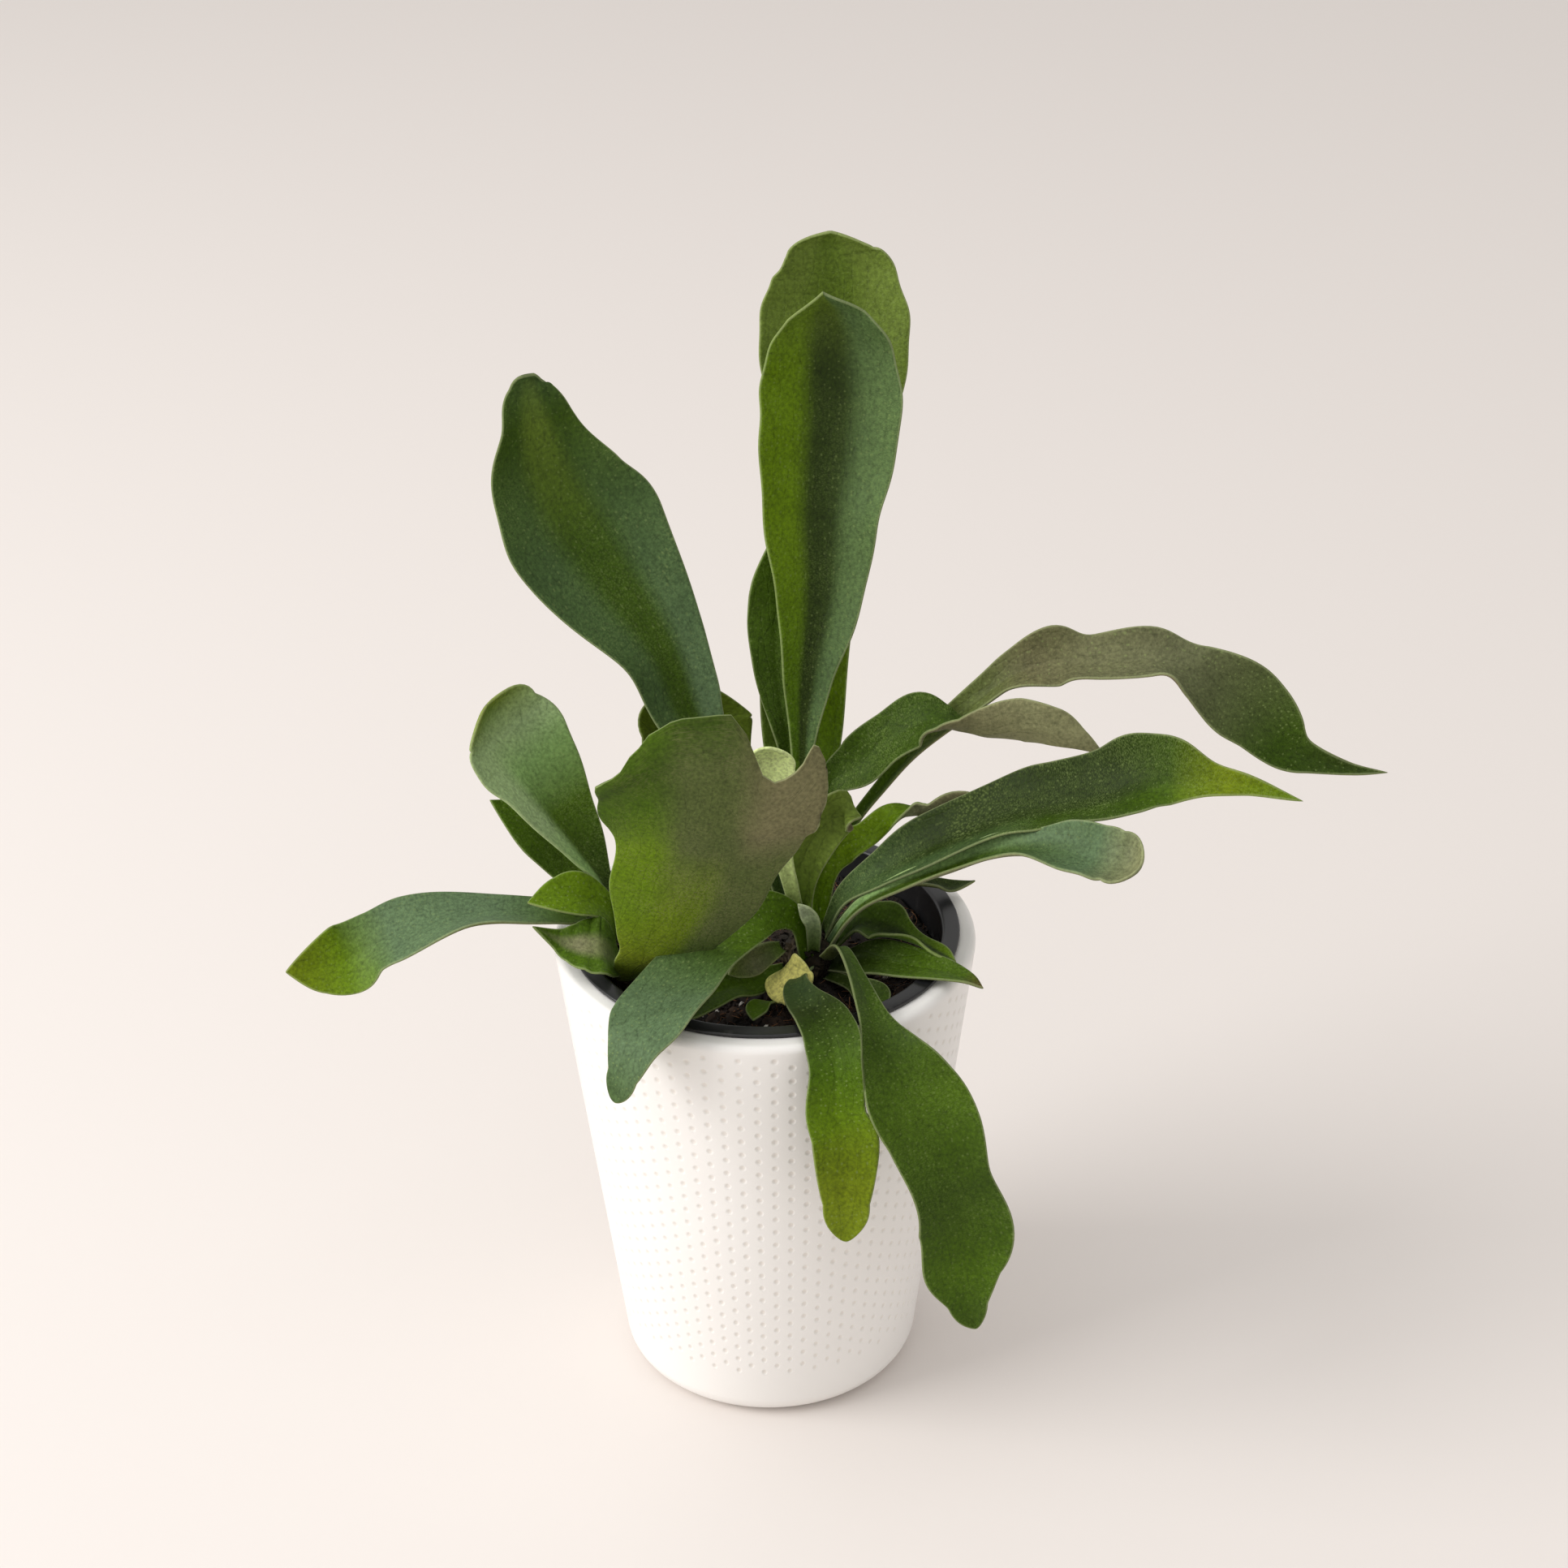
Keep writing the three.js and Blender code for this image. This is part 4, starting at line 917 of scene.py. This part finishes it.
def sleeve_tree():
    """Tiles in a grid, rolled into a cone and welded to the geometry that comes in."""
    sockets = (("Tile", "Object"), ("Pairs", "Int"), ("Rows", "Int"), ("Tile Width", "Float"),
               ("Tile Height", "Float"), ("Start Height", "Float"), ("Start Radius", "Float"),
               ("Slope", "Float"), ("Material", "Material"))
    tree, given, result = geometry_tree("dimpled_sleeve", sockets)
    wide = sums(tree, "MULTIPLY", sums(tree, "SUBTRACT", given["Pairs"], 1), given["Tile Width"])
    tall = sums(tree, "MULTIPLY", sums(tree, "SUBTRACT", given["Rows"], 1), given["Tile Height"])
    grid = node(tree, "GeometryNodeMeshGrid", {"Size X": wide, "Size Y": tall,
                                               "Vertices X": given["Pairs"], "Vertices Y": given["Rows"]})
    shape = node(tree, "GeometryNodeObjectInfo", {"Object": given["Tile"]})
    copies = node(tree, "GeometryNodeInstanceOnPoints", {"Points": grid.outputs["Mesh"],
                                                         "Instance": shape.outputs["Geometry"]})
    sheet = node(tree, "GeometryNodeRealizeInstances", {"Geometry": copies.outputs[0]})
    position = node(tree, "GeometryNodeInputPosition").outputs[0]
    spot = node(tree, "ShaderNodeSeparateXYZ", {0: position}).outputs
    turn = sums(tree, "DIVIDE", spot["X"], sums(tree, "MULTIPLY", given["Tile Width"], given["Pairs"]))
    turn = sums(tree, "MULTIPLY", turn, 2 * math.pi)
    half_sheet = sums(tree, "MULTIPLY", sums(tree, "MULTIPLY", given["Rows"], given["Tile Height"]), 0.5)
    height = sums(tree, "ADD", spot["Y"], half_sheet)
    radius = sums(tree, "MULTIPLY_ADD", height, given["Slope"], given["Start Radius"])
    radius = sums(tree, "ADD", radius, spot["Z"])
    place = node(tree, "ShaderNodeCombineXYZ", {
        "X": sums(tree, "MULTIPLY_ADD", radius, sums(tree, "COSINE", turn), axis_x),
        "Y": sums(tree, "MULTIPLY_ADD", radius, sums(tree, "SINE", turn), axis_y),
        "Z": sums(tree, "ADD", height, given["Start Height"])})
    rolled = node(tree, "GeometryNodeSetPosition", {
        "Geometry": sheet.outputs[0], "Position": place.outputs[0]})
    joined = node(tree, "GeometryNodeJoinGeometry")
    tree.links.new(given["Geometry"], joined.inputs[0])
    tree.links.new(rolled.outputs[0], joined.inputs[0])
    welded = node(tree, "GeometryNodeMergeByDistance", {"Geometry": joined.outputs[0], "Distance": 0.02 * MM})
    whole = node(tree, "GeometryNodeRealizeInstances", {"Geometry": welded.outputs[0]})
    smooth = node(tree, "GeometryNodeSetShadeSmooth", {"Geometry": whole.outputs[0]})
    dressed = node(tree, "GeometryNodeSetMaterial", {"Geometry": smooth.outputs[0],
                                                     "Material": given["Material"]})
    tree.links.new(dressed.outputs[0], result[0])
    return tree


def grown(base, name, tree, values):
    """A plain mesh object made from a base and a geometry tree. The base is used up."""
    modifier = base.modifiers.new("grow", "NODES")
    modifier.node_group = tree
    sockets = {s.name: s.identifier for s in tree.interface.items_tree if s.in_out == "INPUT"}
    for label, value in values.items():
        modifier[sockets[label]] = value
    return applied(base, name)


# %% [markdown]
# ## The cover pot: its glaze
# The glaze is a satin white that is a little warm. A fine orange-peel relief and faint cloudiness keep it
# from looking like plastic. In the hollows it is painted darker and warmer: painted shade, which also stands
# for glaze that pools there.

# %% Mix the glaze
def glaze():
    material, tree, surface = new_material("white_glaze")
    place = node(tree, "ShaderNodeTexCoord").outputs["Object"]
    cloud = noise(tree, place, 22, 3.0)
    peel = noise(tree, place, 1500, 1.0)
    tint = blend_colours(tree, cloud, linear(244, 241, 237), linear(249, 247, 244))
    hollow = node(tree, "ShaderNodeAttribute", attribute_name="hollow").outputs["Fac"]
    # Painted shade: the glaze is darker and warmer the deeper a point lies in a hollow, as pooled glaze would
    # also be.
    hollow_shade = sums(tree, "MULTIPLY", fade(tree, hollow, 0.1 * MM, 0.4 * MM), 0.42)
    tint = blend_colours(tree, hollow_shade, tint, linear(224, 214, 202))
    rough = sums(tree, "MULTIPLY_ADD", cloud, 0.14, 0.3)
    lay_on(tree, surface, tint, rough, sums(tree, "MULTIPLY_ADD", cloud, 0.5, peel), 0.12, 0.05 * MM)
    surface.inputs["Specular IOR Level"].default_value = 0.5
    return material


# %% Build the cover pot
slope = (wall_end[0] - wall_start[0]) / (wall_end[1] - wall_start[1])
cover_pot = grown(cover_base, "ceramic_cover_pot", sleeve_tree(), {
    "Tile": tile, "Pairs": COLUMN_PAIRS, "Rows": ROWS_OF_DIMPLES, "Tile Width": tile_width,
    "Tile Height": tile_height, "Start Height": DIMPLED_FROM, "Start Radius": wall_radius(DIMPLED_FROM),
    "Slope": slope, "Material": glaze()})
bpy.data.objects.remove(tile)
settle(cover_pot, "cover_pot")
print("cover pot", len(cover_pot.data.polygons), "faces")

# %% [markdown]
# Between the hollows the wall is one smooth cone, but a vertex at a hollow's mouth takes part of its normal
# from the hollow, which would show as faint flutes. So every point on the cone gets the cone's own normal.
# The same measure, how far a point lies below the cone, is kept for the glaze, which paints shade in the
# hollows.

# %% Keep the wall between the hollows smooth
ON_CONE = 0.02 * MM


def cone_normals(mesh):
    count = len(mesh.vertices)
    spots, normals = np.zeros(count * 3), np.zeros(count * 3)
    mesh.vertices.foreach_get("co", spots)
    mesh.vertices.foreach_get("normal", normals)
    spots, normals = spots.reshape(-1, 3), normals.reshape(-1, 3)
    out = spots[:, :2] - (axis_x, axis_y)
    radius = np.linalg.norm(out, axis=1)
    wall = wall_start[0] + slope * (spots[:, 2] - wall_start[1])
    between = (spots[:, 2] > wall_start[1]) & (spots[:, 2] < wall_end[1])
    on_cone = (np.abs(radius - wall) < ON_CONE) & between
    upright = np.full(count, -slope)
    cone = unit(np.column_stack([out / np.maximum(radius, 1e-9)[:, None], upright]))
    normals[on_cone] = cone[on_cone]
    mesh.normals_split_custom_set_from_vertices(normals.tolist())
    # Depth below the cone, which the glaze reads to paint shade in the hollows.
    depth = mesh.attributes.new("hollow", "FLOAT", "POINT")
    depth.data.foreach_set("value", np.where(between, np.clip(wall - radius, 0, DIMPLE_DEPTH), 0))
    return int(on_cone.sum())


print("smoothed", cone_normals(cover_pot.data), "points of the wall")


# %% [markdown]
# ## The nursery pot
# The nursery pot is thin black plastic. It hangs by a flange with a rounded edge, and its base has six
# holes. Its wall and flange are turned, and a boolean cuts the holes, as a punch would.

# %% Turn and punch the nursery pot
NURSERY_WALL = 1.2 * MM
FLANGE_WIDTH = 6 * MM
NURSERY_TAPER = 0.77
FLANGE_EDGE = 0.6 * MM
THROAT_ROUND = 1.4 * MM
BASE_ROUND = 2 * MM
DRAIN_HOLES = 6
DRAIN_RADIUS = 4.5 * MM
DRAIN_CIRCLE = 0.7
nursery_radius = flange_radius - FLANGE_WIDTH + NURSERY_WALL
nursery_base = nursery_radius * NURSERY_TAPER
flange_top = nursery_high.z
nursery_foot = nursery_low.z


def nursery_shell():
    edge_radius, edge_z = flange_radius - FLANGE_EDGE, flange_top - NURSERY_WALL + FLANGE_EDGE
    throat = nursery_radius - NURSERY_WALL
    outside = [(0, nursery_foot), (nursery_base * 0.9, nursery_foot),
               *arc(nursery_base - BASE_ROUND, nursery_foot + BASE_ROUND, BASE_ROUND, -90, 0, 5),
               (nursery_radius, flange_top - NURSERY_WALL - 0.6 * MM),
               (nursery_radius + 0.6 * MM, flange_top - NURSERY_WALL)]
    over = [*arc(edge_radius, edge_z, FLANGE_EDGE, -80, 90, 8), (edge_radius - 1.6 * MM, flange_top),
            *arc(throat + THROAT_ROUND, flange_top - THROAT_ROUND, THROAT_ROUND, 90, 175, 6)]
    inside = [(nursery_base - NURSERY_WALL, nursery_foot + 2.6 * MM),
              *arc(nursery_base - 2.8 * MM, nursery_foot + NURSERY_WALL + 1.6 * MM, 1.6 * MM, 0, -90, 4),
              (0, nursery_foot + NURSERY_WALL)]
    return turned("nursery_shell", (outside + over + inside,), 128, (axis_x, axis_y))


def drain_cutter():
    circle = nursery_base * DRAIN_CIRCLE
    mesh = bmesh.new()
    for k in range(DRAIN_HOLES):
        angle = 2 * math.pi * k / DRAIN_HOLES
        spot = (axis_x + circle * math.cos(angle), axis_y + circle * math.sin(angle), nursery_foot)
        bmesh.ops.create_cone(mesh, cap_ends=True, segments=32, radius1=DRAIN_RADIUS, radius2=DRAIN_RADIUS,
                              depth=6 * NURSERY_WALL, matrix=Matrix.Translation(spot))
    return modelled("drain_cutter", mesh)


def punched(shell, cutter, name):
    modifier = shell.modifiers.new("punch", "BOOLEAN")
    modifier.object = cutter
    modifier.solver = "EXACT"
    return applied(shell, name, cutter)


def moulded_plastic():
    """Black polypropylene: satin, with fine moulding grain, handling scuffs and a little dust."""
    material, tree, surface = new_material("black_polypropylene")
    place = node(tree, "ShaderNodeTexCoord").outputs["Object"]
    scuffs = fade(tree, noise(tree, place, 130, 4.0, 0.7), 0.55, 0.75)
    grain = noise(tree, place, 1800, 2.0)
    tint = blend_colours(tree, scuffs, linear(32, 32, 34), linear(58, 57, 56))
    lay_on(tree, surface, tint, sums(tree, "MULTIPLY_ADD", scuffs, 0.25, 0.3), grain, 0.25, 0.05 * MM)
    return material


nursery = punched(nursery_shell(), drain_cutter(), "plastic_nursery_pot")
nursery.data.materials.clear()
nursery.data.materials.append(moulded_plastic())
settle(nursery, "nursery_pot")
print("nursery pot", len(nursery.data.polygons), "faces,", DRAIN_HOLES, "drain holes")

# %% [markdown]
# ## The potting mix
# The mix is dark bark and peat: crumbs of every size, chips, reddish fibres and a few white grains of
# perlite. A bumpy closed body fills the pot and is banked against the wall on the far right. Geometry nodes
# scatter the loose bits over its top, each kind from one small shape with random size and turn.

# %% Fill the pot
MIX_SIDES = 96
MIX_RINGS = 40
BANK = 6 * MM   # how much higher the mix lies against the wall on the far right
rhizome_balls = [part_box("rhizome_main"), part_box("rhizome_left")]
mix_radius = (mix_high.x - mix_low.x) / 2
mix_base_radius = nursery_base - NURSERY_WALL - 0.9 * MM


def mound(radius, angle):
    """Height of the mix above its edge: lumps, a bank on one side, and higher round each rhizome."""
    x, y = radius * np.cos(angle), radius * np.sin(angle)
    lumps = np.sin(x * 420 + 1.3) * np.cos(y * 390 + 0.4) + 0.6 * np.sin(x * 900 + y * 700)
    rise = BANK * np.clip((0.8 * x + 0.6 * y) / mix_radius, 0, 1) ** 2
    for low, high in rhizome_balls:
        spot_x, spot_y = (low.x + high.x) / 2 - axis_x, (low.y + high.y) / 2 - axis_y
        rise = rise + 3 * MM * np.exp(-((x - spot_x) ** 2 + (y - spot_y) ** 2) / (14 * MM) ** 2)
    return 0.9 * MM * lumps + rise - 1.5 * MM


def mix_body():
    angles = np.linspace(0, 2 * np.pi, MIX_SIDES, endpoint=False)
    radii = np.linspace(0, 1, MIX_RINGS + 1)[1:] * mix_radius
    grid_radius, grid_angle = np.meshgrid(radii, angles, indexing="ij")
    height = mix_high.z + mound(grid_radius, grid_angle)
    top = np.stack([axis_x + grid_radius * np.cos(grid_angle), axis_y + grid_radius * np.sin(grid_angle),
                    height], axis=-1)
    bottom = np.stack([axis_x + mix_base_radius * np.cos(angles), axis_y + mix_base_radius * np.sin(angles),
                       np.full(MIX_SIDES, mix_low.z)], axis=-1)
    summit = (axis_x, axis_y, mix_high.z + float(mound(np.array(0.0), np.array(0.0))))
    points = np.vstack([top.reshape(-1, 3), bottom, [summit]])
    centre = len(points) - 1
    faces = [tuple(range(centre - 1, centre - MIX_SIDES - 1, -1))]
    for k in range(MIX_SIDES):
        after = (k + 1) % MIX_SIDES
        faces.append((k, after, centre))
        for ring_start in range(0, (MIX_RINGS - 1) * MIX_SIDES, MIX_SIDES):
            a, b = ring_start + k, ring_start + after
            faces.append((a + MIX_SIDES, b + MIX_SIDES, b, a))
        rim_k, rim_after = (MIX_RINGS - 1) * MIX_SIDES + k, (MIX_RINGS - 1) * MIX_SIDES + after
        faces.append((MIX_RINGS * MIX_SIDES + k, MIX_RINGS * MIX_SIDES + after, rim_after, rim_k))
    return mesh_object("mix_body", points, faces)


# %% Scatter crumbs, chips, fibres and perlite
def scatter_tree():
    """Copies of a shape spread over the upward faces of what comes in, turned and sized at random."""
    sockets = (("Shape", "Object"), ("Density", "Float"), ("Smallest", "Float"), ("Largest", "Float"),
               ("Tilt", "Float"), ("Sink", "Float"), ("Seed", "Int"), ("Material", "Material"))
    tree, given, result = geometry_tree("scatter", sockets)
    facing = node(tree, "ShaderNodeSeparateXYZ", {0: node(tree, "GeometryNodeInputNormal").outputs[0]})
    upward = node(tree, "FunctionNodeCompare", {0: facing.outputs["Z"], 1: 0.4}, operation="GREATER_THAN")
    spots = node(tree, "GeometryNodeDistributePointsOnFaces", {
        "Mesh": given["Geometry"], "Selection": upward.outputs[0], "Density": given["Density"],
        "Seed": given["Seed"]})
    back = sums(tree, "MULTIPLY", given["Tilt"], -1)
    low = node(tree, "ShaderNodeCombineXYZ", {"X": back, "Y": back, "Z": 0})
    high = node(tree, "ShaderNodeCombineXYZ", {"X": given["Tilt"], "Y": given["Tilt"], "Z": 2 * math.pi})
    turn = node(tree, "FunctionNodeRandomValue", {0: low.outputs[0], 1: high.outputs[0],
                                                  "Seed": given["Seed"]}, data_type="FLOAT_VECTOR")
    sunk = node(tree, "ShaderNodeCombineXYZ", {"Z": sums(tree, "MULTIPLY", given["Sink"], -1)})
    lowered = node(tree, "GeometryNodeSetPosition", {"Geometry": spots.outputs["Points"],
                                                     "Offset": sunk.outputs[0]})
    small = node(tree, "ShaderNodeCombineXYZ", {axis: given["Smallest"] for axis in "XYZ"})
    large = node(tree, "ShaderNodeCombineXYZ", {axis: given["Largest"] for axis in "XYZ"})
    size = node(tree, "FunctionNodeRandomValue", {0: small.outputs[0], 1: large.outputs[0],
                                                  "Seed": given["Seed"]}, data_type="FLOAT_VECTOR")
    shape = node(tree, "GeometryNodeObjectInfo", {"Object": given["Shape"]})
    copies = node(tree, "GeometryNodeInstanceOnPoints", {
        "Points": lowered.outputs[0], "Instance": shape.outputs["Geometry"], "Rotation": turn.outputs[0],
        "Scale": size.outputs[0]})
    whole = node(tree, "GeometryNodeRealizeInstances", {"Geometry": copies.outputs[0]})
    dressed = node(tree, "GeometryNodeSetMaterial", {"Geometry": whole.outputs[0],
                                                     "Material": given["Material"]})
    tree.links.new(dressed.outputs[0], result[0])
    return tree


def lump(name, squash, levels=1):
    """A unit crumb: a round stone pushed out of true."""
    mesh = bmesh.new()
    bmesh.ops.create_icosphere(mesh, subdivisions=levels, radius=1)
    for vertex in mesh.verts:
        x, y, z = vertex.co
        vertex.co *= 1 + 0.22 * math.sin(5 * x + 3 * y) * math.cos(4 * z + 1)
        vertex.co.z *= squash
    return modelled(name, mesh)


def thread(name, bend, steps=7, sides=3):
    """A unit fibre, one unit long, that curves and tapers."""
    points, faces = [], []
    for step in range(steps + 1):
        t = step / steps
        radius = 0.035 * (1 - 0.6 * t)
        for side in range(sides):
            angle = 2 * math.pi * side / sides
            points.append((t - 0.5, bend * math.sin(3 * t) + radius * math.cos(angle),
                           0.25 * bend * math.cos(4 * t) + radius * math.sin(angle)))
    for step in range(steps):
        for side in range(sides):
            a, b = step * sides + side, step * sides + (side + 1) % sides
            faces.append((a, b, b + sides, a + sides))
    faces += [tuple(range(sides)), tuple(reversed(range(steps * sides, steps * sides + sides)))]
    return facing_out(mesh_object(name, points, faces))


def earthy(name, dark, light, rough, scale=500):
    """A matte organic finish: two colours in patches, rough all over."""
    material, tree, surface = new_material(name)
    place = node(tree, "ShaderNodeTexCoord").outputs["Object"]
    patches = noise(tree, place, scale, 3.0, 0.65)
    pieces = noise(tree, place, scale * 0.3, 1.0)
    both = sums(tree, "MULTIPLY_ADD", pieces, 0.6, sums(tree, "MULTIPLY", patches, 0.5))
    tint = blend_colours(tree, fade(tree, both, 0.4, 0.72), linear(*dark), linear(*light))
    roughness = sums(tree, "MULTIPLY_ADD", patches, 0.2, rough - 0.1)
    lay_on(tree, surface, tint, roughness, noise(tree, place, scale * 3), 0.6, 0.2 * MM)
    return material


peat = earthy("peat", (20, 15, 12), (48, 36, 28), 0.95)
bark = earthy("bark", (32, 23, 17), (72, 52, 37), 0.9)
root_fibre = earthy("root_fibre", (92, 58, 34), (150, 104, 62), 0.85)
perlite = earthy("perlite", (214, 208, 196), (240, 236, 228), 0.9, 900)
mix = settle(mix_body(), "potting_mix")
mix.data.materials.append(peat)
# For each kind: its name, its shape, how many to the square metre, its smallest and largest size in
# millimetres, its tilt in radians, how deep it sinks in millimetres, and its finish.
SCATTERS = (
    ("mix_crumbs", lump("crumb", 0.8), 260000, 0.35, 1.5, 3.1, 0.2, peat),
    ("mix_bark_chips", lump("chip", 0.45), 30000, 0.9, 3.0, 0.6, 0.1, bark),
    ("mix_fibres", thread("fibre", 0.22), 70000, 3.0, 9.0, 0.5, -0.5, root_fibre),
    ("mix_perlite", lump("grain", 0.85, 2), 2200, 0.6, 1.3, 3.1, -0.1, perlite),
)
tree = scatter_tree()
for count, (name, shape, density, smallest, largest, tilt, sink, finish) in enumerate(SCATTERS):
    soil = placed("soil_copy", mix.data.copy())
    bits = grown(soil, name, tree, {
        "Shape": shape, "Density": float(density), "Smallest": smallest * MM, "Largest": largest * MM,
        "Tilt": tilt, "Sink": sink * MM, "Seed": SEED + count, "Material": finish})
    bpy.data.objects.remove(shape)
    settle(bits, "potting_mix")
    print(name, len(bits.data.polygons), "faces")

# %% [markdown]
# ## The rhizomes
# Each growing point is a creeping stem under papery brown scales. The stem is a lumpy ball, and the same
# scatter tree cannot follow its round surface, so a second tree stands the scales on the ball's normals,
# overlapping like tiles.

# %% Clothe the rhizomes in scales
def scale_shape():
    """One pointed papery scale, a unit long: a folded kite with a little thickness."""
    outline = [(0, 0), (0.22, 0.3), (0.2, 0.65), (0, 1), (-0.2, 0.65), (-0.22, 0.3)]
    bend = [0.02 + 0.1 * y * y for _, y in outline]
    top = [(x, y, z) for (x, y), z in zip(outline, bend)] + [(0, 0.45, 0.1)]
    under = [(x, y, z - 0.03) for x, y, z in top]
    count = len(outline)
    faces = []
    for k in range(count):
        after = (k + 1) % count
        faces.append((after, k, count))
        faces.append((len(top) + k, len(top) + after, len(top) + count))
        faces.append((k, after, len(top) + after, len(top) + k))
    return facing_out(mesh_object("scale_shape", top + under, faces, smooth=False))


def scale_tree():
    sockets = (("Scale", "Object"), ("Density", "Float"), ("Length", "Float"), ("Seed", "Int"),
               ("Material", "Material"))
    tree, given, result = geometry_tree("scales", sockets)
    spots = node(tree, "GeometryNodeDistributePointsOnFaces", {
        "Mesh": given["Geometry"], "Density": given["Density"], "Seed": given["Seed"]})
    stand = node(tree, "FunctionNodeAlignRotationToVector", {"Vector": spots.outputs["Normal"]}, axis="Z")
    lean = node(tree, "FunctionNodeRandomValue", {
        0: (0.1, -0.2, 0.0), 1: (0.7, 0.2, 6.28), "Seed": given["Seed"]}, data_type="FLOAT_VECTOR")
    turned_scale = node(tree, "FunctionNodeRotateRotation", {0: stand.outputs[0], 1: lean.outputs[0]},
                        rotation_space="LOCAL")
    shape = node(tree, "GeometryNodeObjectInfo", {"Object": given["Scale"]})
    vary = node(tree, "FunctionNodeRandomValue", {2: 0.6, 3: 1.2, "Seed": given["Seed"]}, data_type="FLOAT")
    size = sums(tree, "MULTIPLY", vary.outputs[1], given["Length"])
    copies = node(tree, "GeometryNodeInstanceOnPoints", {
        "Points": spots.outputs["Points"], "Instance": shape.outputs["Geometry"],
        "Rotation": turned_scale.outputs[0], "Scale": size})
    joined = node(tree, "GeometryNodeJoinGeometry")
    tree.links.new(given["Geometry"], joined.inputs[0])
    tree.links.new(copies.outputs[0], joined.inputs[0])
    whole = node(tree, "GeometryNodeRealizeInstances", {"Geometry": joined.outputs[0]})
    dressed = node(tree, "GeometryNodeSetMaterial", {"Geometry": whole.outputs[0],
                                                     "Material": given["Material"]})
    tree.links.new(dressed.outputs[0], result[0])
    return tree


def stem_ball(name, low, high):
    mesh = bmesh.new()
    bmesh.ops.create_icosphere(mesh, subdivisions=4, radius=(high.x - low.x) / 2 - 0.6 * MM)
    for vertex in mesh.verts:
        x, y, z = vertex.co * 1000
        vertex.co *= 1 + 0.05 * math.sin(0.9 * x + y) * math.cos(1.1 * z)
        vertex.co += (low + high) / 2
    return modelled(name, mesh)


papery = earthy("papery_scales", (30, 24, 15), (70, 58, 36), 0.9, 300)
scale = scale_shape()
tree = scale_tree()
for count, name in enumerate(("rhizome_main", "rhizome_left")):
    stem = grown(stem_ball(name + "_ball", *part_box(name)), name.replace("rhizome", "scaly_stem"), tree, {
        "Scale": scale, "Density": 300000.0, "Length": 3.5 * MM, "Seed": SEED + count, "Material": papery})
    settle(stem, name)
    print(stem.name, len(stem.data.polygons), "faces")
bpy.data.objects.remove(scale)
